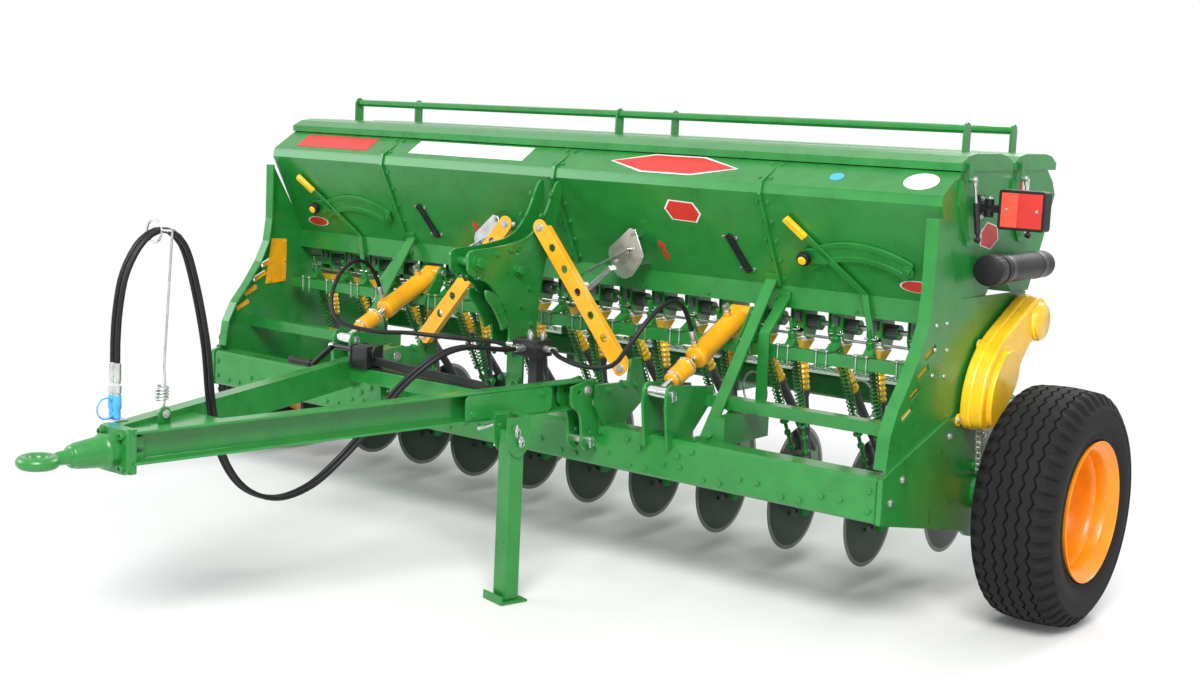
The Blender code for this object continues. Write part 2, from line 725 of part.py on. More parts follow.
# shares of a lug's reach and rise from its pin, up its front edge from the top and back up behind
LUG_SHARES = [
    (-0.94, 1), (-1, 0.57), (-0.63, 0.17), (-0.27, -0.11),
    (0.13, -0.10), (0.11, 0.16), (-0.55, 0.63), (-0.63, 1),
]
SPRING_TUBE_SHARE = 0.62
UPPER_LUG_HALF = 0.012
POST_HALF = 0.022
LID_RAIL_SHARE = 0.70
ARCH_SHARES = [(0, 0), (0, 0.45), (0.12, 0.85), (0.26, 1), (0.74, 1), (0.88, 0.85), (1, 0.45), (1, 0)]


def lid(name, front_y, rear_y):
    """An arched lid, open below, with a rail on posts and a lug for its spring."""
    base = RIM_Z + SEAT
    top = RIM_Z + LID_RISE

    def arch(inset, low):
        width = rear_y - front_y - 2 * inset
        crest = top - inset
        left = front_y + inset
        return [(left + u * width, low + v * (crest - low)) for u, v in ARCH_SHARES]

    half = HOPPER_HALF + SHEET
    shell = side_prism(arch(0, base), (-half, half))
    hollow = side_prism(arch(SHEET, base - SHEET), (-half + SHEET, half - SHEET))
    pieces = [cut(shell, [hollow])]
    rail_y = front_y + (rear_y - front_y) * LID_RAIL_SHARE
    rail_z = top + LID_RAIL_HEIGHT
    pieces.append(rod((-LID_RAIL_HALF, rail_y, rail_z), (LID_RAIL_HALF, rail_y, rail_z), LID_RAIL_RADIUS, 10))
    for x in (-LID_RAIL_HALF, 0, LID_RAIL_HALF):
        post = [
            (rail_y - POST_HALF, top - SHEET / 2),
            (rail_y + POST_HALF, top - SHEET / 2),
            *arc((rail_y, rail_z), POST_HALF, 0, 180, 4),
        ]
        pieces.append(side_prism(post, (x - PLATE / 2, x + PLATE / 2)))
    pin_y = SPRING_TOP_Y + (front_y - LID_FRONT_Y)
    lug = [
        (pin_y - UPPER_LUG_HALF, top - LID_RISE / 2),
        *arc((pin_y, SPRING_TOP_Z), UPPER_LUG_HALF, 180, 360, 4),
        (pin_y + UPPER_LUG_HALF, top - LID_RISE / 2),
    ]
    pieces.append(side_prism(lug, (LUG_FACE_X - LUG_THICK, LUG_FACE_X)))
    across = (pin_y - UPPER_LUG_HALF, pin_y + UPPER_LUG_HALF)
    pieces.append(block((HOPPER_HALF, LUG_FACE_X), across, (top - LID_RISE / 1.5, top - LID_RISE / 2)))
    finish(name, join(pieces), GREEN, pivot=(0, front_y, LID_AXIS_Z))


def lid_spring(number, y_step):
    """A gas strut: its tube turns on the end panel, and its rod slides out as the lid rises."""
    low = Vector((SPRING_X, SPRING_LOW_Y + y_step, SPRING_LOW_Z))
    top = Vector((SPRING_X, SPRING_TOP_Y + y_step, SPRING_TOP_Z))
    line = (top - low).normalized()
    length = (top - low).length
    tube_end = low + line * length * SPRING_TUBE_SHARE
    tube = [
        rod(low, tube_end, SPRING_TUBE, 10),
        rod((PLATE_IN_X + GAS_BRACKET + SEAT, *low.yz), low + Vector((SPRING_PIN, 0, 0)), SPRING_PIN, 8),
    ]
    finish(f"spring_tube_{number}", join(tube), BLACK, pivot=low)
    eye = [
        rod(tube_end + line * SEAT, top, SPRING_ROD, 8),
        rod((LUG_FACE_X + SEAT, *top.yz), top + Vector((SPRING_PIN, 0, 0)), SPRING_PIN, 8),
    ]
    finish(f"spring_rod_{number}", join(eye), STEEL, pivot=top)


# Headstock: two curved plates from the beam up to the hopper, with a forward nose
NOSE_X = 0.040
NOSE_PLATE = 0.012


NOSE_REACH = 0.200  # in front of the beam
HEADSTOCK_TOP_Z = 1.304
# shares of the nose's reach and of the height above the beam, up the front and down the back
HEADSTOCK_SHARES = [
    (0.1, 0), (0.1, 0.293), (0.15, 0.361), (-0.075, 0.459), (-0.4, 0.552), (-0.925, 0.605), (-1, 0.657),
    (-0.95, 0.707), (-0.425, 0.718), (0.1, 0.73), (0.65, 0.765), (1.025, 0.855), (1.25, 0.967),
    (1.35, 1), (1.44, 1), (1.46, 0.918), (1.25, 0.765), (1.075, 0.612), (0.95, 0.421), (0.85, 0.026),
    (0.67, 0),
]
NOSE_PIN_Y = -0.155
NOSE_PIN_Z = 1.035
NOSE_PIN = 0.015
NOSE_PIN_OUT = 0.034
REAR_PIN_Y = 0.060
REAR_PIN_Z = 1.000
SADDLE_HALF = 0.110
WEB_Y = 0.120
WEB_TOP_Z = 1.080


def headstock():
    low = BEAM_TOP + SEAT
    rise = HEADSTOCK_TOP_Z - low
    outline = [(u * NOSE_REACH, low + v * rise) for u, v in HEADSTOCK_SHARES]
    half = NOSE_PLATE / 2
    pieces = [side_prism(outline, (x - half, x + half)) for x in (-NOSE_X, NOSE_X)]
    pieces.append(block((-SADDLE_HALF, SADDLE_HALF), (-NOSE_PLATE, BEAM_DEPTH + NOSE_PLATE), (low, low + NOSE_PLATE)))
    pieces.append(block((-NOSE_X, NOSE_X), (WEB_Y, WEB_Y + NOSE_PLATE), (low + half, WEB_TOP_Z)))
    for y, z, radius in ((NOSE_PIN_Y, NOSE_PIN_Z, NOSE_PIN), (REAR_PIN_Y, REAR_PIN_Z, NOSE_PIN * 0.8)):
        reach = NOSE_X + half + NOSE_PIN_OUT * radius / NOSE_PIN
        pieces.append(rod((-reach, y, z), (reach, y, z), radius, 10))
    finish("headstock", join(pieces), GREEN)


BRACE_TOP_Z = 1.150
BRACE_WIDTH = 0.055
BRACE_FLANGE = 0.026
BRACE_SHEET = 0.005
BRACE_HOLES = 5
BRACE_HOLE_RADIUS = 0.011
BRACE_FIRST_HOLE_SHARE = 0.24
BRACE_HOLE_STEP_SHARE = 0.14


def brace(side, name):
    """A perforated channel from the headstock down to the drawbar bracket."""
    inner_x = NOSE_X + NOSE_PLATE / 2 + SEAT
    outer_x = BRACKET_X - BRACKET_PLATE / 2 - SEAT
    start = Vector((inner_x - BRACE_WIDTH, BRACE_Y, BRACE_TOP_Z + BRACE_WIDTH))
    end = Vector((outer_x + BRACE_WIDTH / 2, BRACE_Y, BRACE_FOOT_Z - BRACE_WIDTH / 2))
    line = (end - start).normalized()
    across = Vector((-line.z, 0, line.x))
    half = BRACE_WIDTH / 2
    deep = BRACE_FLANGE / 2
    section = [(v, u) for u, v in channel(deep, half, BRACE_SHEET)]
    section = [(u, deep - v) for u, v in section]
    body = section_bar(start, end, section, across, Vector((0, 1, 0)))
    reach = BRACE_TOP_Z
    cutters = [
        block((-reach, inner_x), (-reach, reach), (0, reach * 2)),
        block((outer_x, reach), (-reach, reach), (0, reach * 2)),
    ]
    for i in range(BRACE_HOLES):
        middle = start.lerp(end, BRACE_FIRST_HOLE_SHARE + BRACE_HOLE_STEP_SHARE * i)
        out = Vector((0, BRACE_FLANGE * 2, 0))
        cutters.append(rod(middle - out, middle + out, BRACE_HOLE_RADIUS, 8))
    body = cut(body, cutters)
    if side < 0:
        body = mirrored(body)
    finish(name, body, AMBER)


# Drawbar: two channels that meet at the hitch flange
EAR_PLATE = 0.012
HITCH_PLATE = 0.014
DRAWBAR_SHEET = 0.007
DRAWBAR_FRONT = Vector((DRAWBAR_WIDTH * 0.9, FLANGE_Y + HITCH_PLATE, EYE_Z + 0.010))
DRAWBAR_REAR = Vector((DRAWBAR_REAR_X, DRAWBAR_REAR_Y, DRAWBAR_REAR_Z))
GUSSET_TOP = DRAWBAR_FRONT.z + DRAWBAR_HEIGHT / 2 - DRAWBAR_SHEET * 2
TIE_Y = -0.350
TIE_SIDE = 0.050
GUSSET_LENGTH = 0.360


def drawbar_point(y):
    """The middle of the left channel at a depth."""
    return DRAWBAR_FRONT.lerp(DRAWBAR_REAR, (y - DRAWBAR_FRONT.y) / (DRAWBAR_REAR.y - DRAWBAR_FRONT.y))


DRAWBAR_ANGLE = atan2(DRAWBAR_REAR.x - DRAWBAR_FRONT.x, DRAWBAR_REAR.y - DRAWBAR_FRONT.y)


def drawbar():
    pieces = []
    section = channel(DRAWBAR_WIDTH / 2, DRAWBAR_HEIGHT / 2, DRAWBAR_SHEET)
    outward = Vector((cos(DRAWBAR_ANGLE), -sin(DRAWBAR_ANGLE), 0))
    bar = section_bar(DRAWBAR_FRONT, DRAWBAR_REAR, section, outward, Vector((0, 0, 1)))
    side = [bar] + drawbar_ears() + leg_ears()
    half = join(side)
    pieces += [mirrored_bar(section, outward), half]
    rear = drawbar_point(FLANGE_Y + GUSSET_LENGTH)
    reach = DRAWBAR_WIDTH * 0.4
    gusset = plan_prism(
        [
            (-DRAWBAR_FRONT.x - reach, DRAWBAR_FRONT.y),
            (DRAWBAR_FRONT.x + reach, DRAWBAR_FRONT.y),
            (rear.x + reach, rear.y),
            (-rear.x - reach, rear.y),
        ],
        (GUSSET_TOP - DRAWBAR_SHEET, GUSSET_TOP),
    )
    spot = drawbar_point(TIE_Y)
    tie = block(
        (-spot.x - DRAWBAR_WIDTH / 2, spot.x + DRAWBAR_WIDTH / 2),
        (TIE_Y - TIE_SIDE / 2, TIE_Y + TIE_SIDE / 2),
        (spot.z - TIE_SIDE / 2, spot.z + TIE_SIDE / 2),
    )
    flange = block(
        (-FLANGE_SIDE / 2, FLANGE_SIDE / 2),
        (FLANGE_Y, DRAWBAR_FRONT.y + DRAWBAR_SHEET),
        (EYE_Z - FLANGE_SIDE / 2, EYE_Z + FLANGE_SIDE / 2),
    )
    pieces += [gusset, tie, flange]
    finish("drawbar", join(pieces), GREEN)


def mirrored_bar(section, outward):
    bar = section_bar(DRAWBAR_FRONT, DRAWBAR_REAR, section, outward, Vector((0, 0, 1)))
    return mirrored(join([bar] + drawbar_ears()))


def drawbar_ears():
    """The two ear plates at a channel's rear end, with the pin below them."""
    pieces = []
    ear = [
        (DRAWBAR_REAR_Y - EAR_RADIUS * 2, DRAWBAR_REAR_Z + EAR_RADIUS * 0.7),
        (DRAWBAR_REAR_Y - EAR_RADIUS * 2, DRAWBAR_REAR_Z - EAR_RADIUS * 0.5),
        *arc((EAR_PIN_Y, EAR_PIN_Z), EAR_RADIUS * 0.85, 180, 330, 5),
        (-SEAT, EAR_PIN_Z + EAR_RADIUS * 0.3),
        (-SEAT, DRAWBAR_REAR_Z + EAR_RADIUS * 0.8),
        (-EAR_RADIUS, DRAWBAR_REAR_Z + EAR_RADIUS * 1.2),
    ]
    ear = [(min(y, -SEAT), z) for y, z in ear]
    for way in (-1, 1):
        middle = DRAWBAR_REAR_X + way * (EAR_PLATE + DRAWBAR_WIDTH * 0.9) / 2
        middle -= EAR_PLATE / 2
        pieces.append(side_prism(ear, (middle - EAR_PLATE / 2, middle + EAR_PLATE / 2)))
    reach = (DRAWBAR_WIDTH + EAR_PLATE) / 2
    pieces.append(
        rod(
            (DRAWBAR_REAR_X - reach - EAR_PLATE, EAR_PIN_Y, EAR_PIN_Z),
            (DRAWBAR_REAR_X + reach, EAR_PIN_Y, EAR_PIN_Z),
            EAR_PLATE * 1.2,
            8,
        )
    )
    return pieces


# Parking leg, hinged between two ears beside the left drawbar channel
LEG_X = 0.448
LEG_Y = -0.420
LEG_PIN_Z = 0.530
LEG_TUBE = 0.062
LEG_EAR_RADIUS = 0.045
LEG_EAR_PLATE = 0.006
LEG_GAP = 0.002
LEG_BOSS = 0.020
LEG_FOOT = 0.100
LEG_FOOT_THICK = 0.006
LEG_FOOT_TURN_UP = 0.026


def beside_drawbar(x, y):
    """The turn and shift that line a piece up with the left channel, at x and y."""
    return Matrix.Translation((x, y, 0)) @ Matrix.Rotation(-DRAWBAR_ANGLE, 4, "Z")


def placed(piece, matrix):
    piece.data.transform(matrix)
    return piece


def leg_ears():
    half = LEG_TUBE / 2 + LEG_GAP
    ears = []
    top = LEG_PIN_Z + LEG_EAR_RADIUS * 1.7
    low = LEG_PIN_Z - LEG_EAR_RADIUS * 1.6
    outline = [
        (-LEG_EAR_RADIUS, top),
        (-LEG_EAR_RADIUS, low + LEG_EAR_RADIUS),
        (0, low),
        (LEG_EAR_RADIUS, low + LEG_EAR_RADIUS),
        (LEG_EAR_RADIUS, top),
    ]
    place = beside_drawbar(LEG_X, LEG_Y)
    for way in (-1, 1):
        x = way * (half + LEG_EAR_PLATE / 2)
        ears.append(placed(side_prism(outline, (x - LEG_EAR_PLATE / 2, x + LEG_EAR_PLATE / 2)), place))
    spot = place.inverted() @ drawbar_point(LEG_Y)
    spacer = block(
        (spot.x, -half - LEG_EAR_PLATE / 2),
        (-LEG_EAR_RADIUS * 0.8, LEG_EAR_RADIUS * 0.8),
        (LEG_PIN_Z + LEG_EAR_RADIUS, top - LEG_EAR_PLATE / 2),
    )
    roof = block(
        (-half - LEG_EAR_PLATE / 2, half + LEG_EAR_PLATE / 2),
        (LEG_EAR_RADIUS * 0.3, LEG_EAR_RADIUS),
        (top - LEG_EAR_PLATE, top),
    )
    ears += [placed(spacer, place), placed(roof, place)]
    return ears


def parking_leg():
    half = LEG_TUBE / 2
    tube = block((-half, half), (-half, half), (LEG_FOOT_THICK / 2, LEG_PIN_Z + LEG_EAR_RADIUS / 2), LEG_FOOT_THICK)
    foot_half = LEG_FOOT / 2
    foot = block((-foot_half, foot_half), (-foot_half, foot_half), (0, LEG_FOOT_THICK))
    toe = block(
        (-foot_half, foot_half),
        (-foot_half - LEG_FOOT_THICK / 2, -foot_half + LEG_FOOT_THICK / 2),
        (0, LEG_FOOT_TURN_UP),
    )
    reach = half + LEG_GAP - SEAT
    boss = rod((-reach, 0, LEG_PIN_Z), (reach, 0, LEG_PIN_Z), LEG_BOSS, 12)
    body = placed(join([tube, foot, toe, boss]), beside_drawbar(LEG_X, LEG_Y))
    finish("parking_leg", body, GREEN, pivot=(LEG_X, LEG_Y, LEG_PIN_Z))


SHANK_LENGTH = 0.100
CONE_RADIUS = 0.024
NECK_RADIUS = 0.044
NECK_LENGTH = 0.050
FLANGE_BOLT = 0.011
FLANGE_BOLT_OUT = 0.014
FLANGE_BOLT_SHARE = 0.36  # of the flange's side, from its middle
RING_SIDES = 8


def hitch_eye():
    corners = [tau * i / RING_SIDES for i in range(RING_SIDES)]
    section = [(EYE_RING + EYE_SECTION * cos(a), EYE_SECTION * sin(a)) for a in corners]
    half = FLANGE_SIDE / 2
    plate_y = FLANGE_Y - HITCH_PLATE

    def at(y):
        return (0, y, EYE_Z)

    pieces = [
        turned(section, at(EYE_Y), "Z", RING_SIDES * 2),
        rod(at(EYE_Y + EYE_RING + EYE_SECTION / 2), at(EYE_Y + SHANK_LENGTH), EYE_SECTION, 12),
        rod(at(EYE_Y + SHANK_LENGTH - HITCH_PLATE), at(FLANGE_Y - NECK_LENGTH), CONE_RADIUS, 12, NECK_RADIUS),
        rod(at(FLANGE_Y - NECK_LENGTH - SEAT), at(FLANGE_Y - HITCH_PLATE / 2), NECK_RADIUS, 12),
        block((-half, half), (plate_y, FLANGE_Y - SEAT), (EYE_Z - half, EYE_Z + half), HITCH_PLATE / 5),
    ]
    for x in (-1, 1):
        for z in (-1, 1):
            spot = (x * FLANGE_SIDE * FLANGE_BOLT_SHARE, EYE_Z + z * FLANGE_SIDE * FLANGE_BOLT_SHARE)
            head, foot = plate_y - FLANGE_BOLT_OUT, plate_y + HITCH_PLATE / 4
            pieces.append(rod((spot[0], head, spot[1]), (spot[0], foot, spot[1]), FLANGE_BOLT, 8))
    finish("hitch_eye", join(pieces), GREEN)


# Hydraulic cylinders that turn the rockshaft
BARREL_RADIUS = 0.038
SLEEVE_RADIUS = 0.033
CYLINDER_ROD = 0.015
PORT_HEIGHT = 0.016
PORT_RADIUS = 0.012
PORT_SHARES = (0.44, 0.84)
ROD_EYE_RADIUS = 0.022
LEVER_EYE_RADIUS = 0.026
LEVER_NECK = 0.020
SLEEVE_SHARES = (0.08, 0.27)  # of the way from the rod's eye to the lever's pin
BARREL_SHARES = (0.40, 0.94)
ROD_END_SHARE = 0.50


def cylinder(side, name):
    x = side * CYLINDER_X
    eye = Vector((x, ROD_EYE_Y, ROD_EYE_Z))
    pin = Vector((x, LEVER_PIN_Y, LEVER_PIN_Z))
    line = (pin - eye).normalized()
    wide = CLEVIS_GAP / 2 - SEAT
    pieces = [
        rod(eye, eye.lerp(pin, ROD_END_SHARE), CYLINDER_ROD, 10),
        rod((x - wide, *eye.yz), (x + wide, *eye.yz), ROD_EYE_RADIUS, 12),
        rod(eye.lerp(pin, SLEEVE_SHARES[0]), eye.lerp(pin, SLEEVE_SHARES[1]), SLEEVE_RADIUS, 14),
        rod(eye.lerp(pin, BARREL_SHARES[0]), eye.lerp(pin, BARREL_SHARES[1]), BARREL_RADIUS, 14),
        rod((x - wide, *pin.yz), (x + wide, *pin.yz), LEVER_EYE_RADIUS, 12),
        rod(pin - line * (LEVER_EYE_RADIUS + LEVER_NECK / 2), pin, LEVER_NECK, 10),
    ]
    for share in PORT_SHARES:
        port, up = cylinder_port(side, share)
        pieces.append(rod(port - up * BARREL_RADIUS, port, PORT_RADIUS, 8))
    finish(name, join(pieces), YELLOW)


# Rockshaft with a clamp and a rod guide for each opener
SHAFT_Y = 0.400
SHAFT_Z = 0.790
SHAFT_SIDE = 0.040
ROD_TOP = ((0.441, 0.835), (0.480, 0.835))
ROD_FOOT = ((0.612, 0.325), (0.792, 0.292))
ROD_RADIUS = 0.007
COIL_RADIUS = 0.018
COIL_SHARE = 0.62
GUIDE_RADIUS = 0.016
GUIDE_HALF = 0.022
CLAMP_WALL = 0.006
LEVER_PLATE = 0.010


def rod_line(row):
    top = Vector((0, *ROD_TOP[row]))
    foot = Vector((0, *ROD_FOOT[row]))
    return top, foot, (foot - top).normalized()


def rockshaft():
    half = SHAFT_SIDE / 2
    end = PLATE_IN_X - FLANGE
    shaft = block((-end, end), (SHAFT_Y - half, SHAFT_Y + half), (SHAFT_Z - half, SHAFT_Z + half))
    pieces = [shaft]
    clamp_half = half + CLAMP_WALL
    for row in range(2):
        top, foot, line = rod_line(row)
        clamp = block(
            (-clamp_half, clamp_half),
            (SHAFT_Y - clamp_half, SHAFT_Y + clamp_half),
            (SHAFT_Z - clamp_half, SHAFT_Z + clamp_half),
        )
        guide = rod(top - line * GUIDE_HALF - line * GUIDE_HALF, top + line * GUIDE_HALF, GUIDE_RADIUS, 6)
        arm = strap((0, SHAFT_Y, SHAFT_Z), top, GUIDE_RADIUS * 2, GUIDE_RADIUS)
        unit = join([clamp, guide, arm])
        pieces += copy_at(unit, [(x + ARM_SHIFT, 0, 0) for x in opener_xs(row)])
    for side in (-1, 1):
        for way in (-1, 1):
            middle = side * CYLINDER_X + way * (CLEVIS_GAP + LEVER_PLATE) / 2
            lever = [
                *arc((SHAFT_Y, SHAFT_Z), SHAFT_SIDE * 0.9, 130, 300, 4),
                *arc((LEVER_PIN_Y, LEVER_PIN_Z), SHAFT_SIDE * 0.65, -50, 130, 4),
            ]
            pieces.append(side_prism(lever, (middle - LEVER_PLATE / 2, middle + LEVER_PLATE / 2)))
    finish("rockshaft", join(pieces), GREEN)


# Metering line: a feed housing, a funnel and a seed tube over each opener
FEED_SHAFT = 0.020
FEED_LOW = 0.820
FEED_HIGH = TANK_FLOOR - SEAT
FEED_FRONT = 0.515
FEED_REAR = 0.605
FEED_HALF = 0.028
ROLLER_RADIUS = 0.026
ROLLER_LENGTH = 0.045
FUNNEL_TOP = 0.040
FUNNEL_FOOT = 0.022
FUNNEL_HEIGHT = 0.055
TUBE_RADIUS = 0.016
TUBE_GAP = 0.012


# Coulter arms: pivot bar, flat arms, spring rods and seed boots
ARM_THICK = 0.012
ARM_DEPTH = 0.045
ARM_BOSS = 0.030
BOOT_HALF = 0.010
BOOT_TOP = 0.100
BOOT_LOW = -0.055
BOOT_BACK = 0.070


def coulter_arms():
    reach = BEAM_HALF - BRACKET_WIDTH / 2
    half = PIVOT_RADIUS
    pieces = [block((-reach, reach), (PIVOT_Y - half, PIVOT_Y + half), (PIVOT_Z - half, PIVOT_Z + half))]
    hubs = ((FRONT_DISC_Y, FRONT_DISC_Z), (REAR_DISC_Y, REAR_DISC_Z))
    for row in range(2):
        top, foot, line = rod_line(row)
        hub_y, hub_z = hubs[row]
        pitch = degrees_of(hub_y - PIVOT_Y, hub_z - PIVOT_Z)
        outline = [
            *arc((PIVOT_Y, PIVOT_Z), PIVOT_BOSS, pitch + 90, pitch + 270, 3),
            *arc((hub_y, hub_z), ARM_BOSS, pitch - 90, pitch + 90, 3),
        ]
        arm = side_prism(outline, (-ARM_THICK / 2, ARM_THICK / 2))
        axle = rod((HUB_HALF + SEAT - ARM_SHIFT, hub_y, hub_z), (0, hub_y, hub_z), ARM_BOSS * 0.8, 8)
        coil_end = top.lerp(foot, COIL_SHARE)
        push_rod = rod(coil_end - line * ROD_RADIUS, foot, ROD_RADIUS, 6)
        coil = rod(top + line * (GUIDE_HALF + SEAT), coil_end, COIL_RADIUS, 6)
        boot = side_prism(
            [
                (hub_y + BOOT_BACK * 0.3, hub_z + BOOT_LOW),
                (hub_y - BOOT_HALF, hub_z + BOOT_TOP * 0.9),
                (hub_y + BOOT_BACK * 0.85, hub_z + BOOT_TOP),
                (hub_y + BOOT_BACK, hub_z + BOOT_LOW * 0.9),
            ],
            (-BOOT_HALF, BOOT_HALF),
        )
        tube_foot = (0, hub_y + BOOT_BACK / 2, hub_z + BOOT_TOP - TUBE_GAP)
        tube = rod((-ARM_SHIFT, FRONT_OUTLET_Y, FEED_LOW - FUNNEL_HEIGHT - TUBE_GAP), tube_foot, TUBE_RADIUS, 6)
        unit = join([arm, axle, push_rod, coil, boot, tube])
        pieces += copy_at(unit, [(x + ARM_SHIFT, 0, 0) for x in opener_xs(row)])
    finish("coulter_arms", join(pieces), GREEN)


def disc(name, x, y, z):
    neck = HUB_RADIUS * 1.2
    profile = [
        (0, HUB_HALF),
        (HUB_RADIUS, HUB_HALF),
        (neck, DISC_WAIST),
        (DISC_RADIUS, 0),
        (neck, -DISC_WAIST),
        (HUB_RADIUS, -HUB_HALF),
        (0, -HUB_HALF),
    ]
    finish(name, turned(profile, (x, y, z), "X", DISC_SIDES), DARK_GREEN, pivot=(x, y, z))


def metering_line():
    shaft_z = (FEED_LOW + FEED_HIGH) / 2
    end = PLATE_IN_X - SEAT
    half = FEED_SHAFT / 2
    line = (FRONT_OUTLET_Y - half, FRONT_OUTLET_Y + half)
    pieces = [block((-end, end), line, (shaft_z - half, shaft_z + half))]
    neck = Vector((0, FRONT_OUTLET_Y, FEED_LOW - FUNNEL_HEIGHT))
    for row in range(2):
        housing = block((-FEED_HALF, FEED_HALF), (FEED_FRONT, FEED_REAR), (FEED_LOW, FEED_HIGH))
        roller_at = (FRONT_OUTLET_Y, shaft_z)
        roller = rod((FEED_HALF / 2, *roller_at), (FEED_HALF + ROLLER_LENGTH, *roller_at), ROLLER_RADIUS, 6)
        funnel = rod((0, FRONT_OUTLET_Y, FEED_LOW + TUBE_GAP / 4), neck, FUNNEL_TOP, 6, FUNNEL_FOOT)
        unit = join([housing, roller, funnel])
        pieces += copy_at(unit, [(x, 0, 0) for x in opener_xs(row)])
    finish("metering_line", join(pieces), GREEN)


# Wheels
WHEEL_SIDES = 26
WHEEL_MIDDLE = TYRE_OUTER_X - TYRE_WIDTH / 2
BEAD_SHARE = 0.80
WHEEL_HUB = 0.060


def tyre(side, name):
    half = TYRE_WIDTH / 2
    shares = [
        (BEAD_RADIUS + SEAT, BEAD_SHARE - 0.01),
        (RIM_RADIUS + SEAT * 2, BEAD_SHARE + 0.08),
        (WHEEL_RADIUS * 0.78, 1),
        (WHEEL_RADIUS * 0.93, 0.94),
        (WHEEL_RADIUS, 0.55),
    ]
    profile = [(r, -half * share) for r, share in shares] + [(r, half * share) for r, share in shares[::-1]]
    centre = (side * WHEEL_MIDDLE, WHEEL_Y, WHEEL_RADIUS)
    finish(name, turned(profile, centre, "X", WHEEL_SIDES), RUBBER, pivot=centre)


def rim(side, name):
    """A deep rim with its disc near the machine, its hub and the shaft that runs in the side shield."""
    half = TYRE_WIDTH / 2
    shaft_in = SHIELD_X + AXLE_BOSS_LENGTH + SEAT - WHEEL_MIDDLE
    wall = BEAD_RADIUS * 0.06
    bead_in = half * BEAD_SHARE
    profile = [
        (0, half * 0.18),
        (WHEEL_HUB, half * 0.18),
        (WHEEL_HUB * 1.1, half * 0.02),
        (BEAD_RADIUS * 0.8, half * 0.02),
        (BEAD_RADIUS - wall * 1.4, half * 0.75),
        (RIM_RADIUS, half),
        (RIM_RADIUS, half * 0.95),
        (BEAD_RADIUS, bead_in),
        (BEAD_RADIUS, half * 0.60),
        (BEAD_RADIUS - wall, half * 0.40),
        (BEAD_RADIUS - wall, -half * 0.40),
        (BEAD_RADIUS, -half * 0.60),
        (BEAD_RADIUS, -bead_in),
        (RIM_RADIUS, -half * 0.95),
        (RIM_RADIUS, -half),
        (BEAD_RADIUS - wall * 1.4, -half * 0.75),
        (BEAD_RADIUS * 0.8, -half * 0.08),
        (WHEEL_HUB, -half * 0.08),
        (WHEEL_HUB * 0.75, -half * 0.50),
        (WHEEL_HUB * 0.75, shaft_in),
        (0, shaft_in),
    ]
    body = turned(profile, (WHEEL_MIDDLE, WHEEL_Y, WHEEL_RADIUS), "X", WHEEL_SIDES)
    if side < 0:
        body = mirrored(body)
    finish(name, body, AMBER, pivot=(side * WHEEL_MIDDLE, WHEEL_Y, WHEEL_RADIUS))


# Chain guard on the left side
GUARD_IN_X = SHIELD_X + SEAT
GUARD_DEPTH = 0.0755
GUARD_OUT_X = GUARD_IN_X + GUARD_DEPTH
GUARD_RISE = 0.016
GUARD_Y = 0.905
GUARD_Z = 0.932
GUARD_ROUND = 0.085
GUARD_BOSS = 0.062
GUARD_REACH = 0.408
GUARD_DROP = 0.327
# shares of the guard's reach in front of its boss and of its drop below it
GUARD_SHARES = [
    (0.6, 0.061), (0.772, 0.196), (0.919, 0.404), (1, 0.664), (0.985, 0.93), (0.831, 1), (0.65, 0.924),
    (0.402, 0.682), (0.294, 0.434), (0.135, 0.235),
]
GUARD_BULGE_SHARES = [
    (0.65, 0.22), (0.846, 0.434), (0.919, 0.664), (0.907, 0.893), (0.831, 0.939), (0.686, 0.847),
    (0.478, 0.642), (0.392, 0.434), (0.453, 0.251),
]


def chain_guard():
    """A pressed guard over the drive to the rollers, with a round boss and a raised lower field."""
    def outline(shares):
        return [(GUARD_Y - u * GUARD_REACH, GUARD_Z - v * GUARD_DROP) for u, v in shares]

    rim_line = arc((GUARD_Y, GUARD_Z), GUARD_ROUND, -30, 120, 5) + outline(GUARD_SHARES)
    raised = (GUARD_OUT_X - GUARD_RISE / 2, GUARD_OUT_X + GUARD_RISE)
    pieces = [
        side_prism(rim_line, (GUARD_IN_X, GUARD_OUT_X)),
        rod((raised[0], GUARD_Y, GUARD_Z), (raised[1], GUARD_Y, GUARD_Z), GUARD_BOSS, 14),
        side_prism(outline(GUARD_BULGE_SHARES), raised),
    ]
    finish("chain_guard", join(pieces), YELLOW)


# Tube for papers on the left end, on two straps
PAPER_OUT = 0.052
PAPER_FRONT_Y = 0.530
PAPER_REAR_Y = 0.980
PAPER_Z = 1.118
PAPER_RADIUS = 0.046
PAPER_CAP_RADIUS = 0.050
PAPER_CAP = 0.060
PAPER_BAND = 0.015
PAPER_STRAP = 0.030
PAPER_STRAP_HALF = 0.012


def document_tube():
    x = PLATE_OUT_X + PAPER_OUT
    band = PAPER_FRONT_Y + PAPER_CAP + PAPER_BAND
    pieces = [
        rod((x, PAPER_FRONT_Y + PAPER_CAP / 2, PAPER_Z), (x, PAPER_REAR_Y, PAPER_Z), PAPER_RADIUS, 14),
        rod((x, PAPER_FRONT_Y, PAPER_Z), (x, PAPER_FRONT_Y + PAPER_CAP, PAPER_Z), PAPER_CAP_RADIUS, 14),
        rod((x, band, PAPER_Z), (x, band + PAPER_BAND, PAPER_Z), PAPER_CAP_RADIUS, 14),
    ]
    high = (PAPER_Z - PAPER_STRAP_HALF, PAPER_Z + PAPER_STRAP_HALF)
    for y in (PAPER_FRONT_Y + PAPER_STRAP * 3.5, PAPER_REAR_Y - PAPER_STRAP * 3):
        pieces.append(block((HOPPER_HALF + SEAT, x), (y, y + PAPER_STRAP), high))
    finish("document_tube", join(pieces), BLACK)


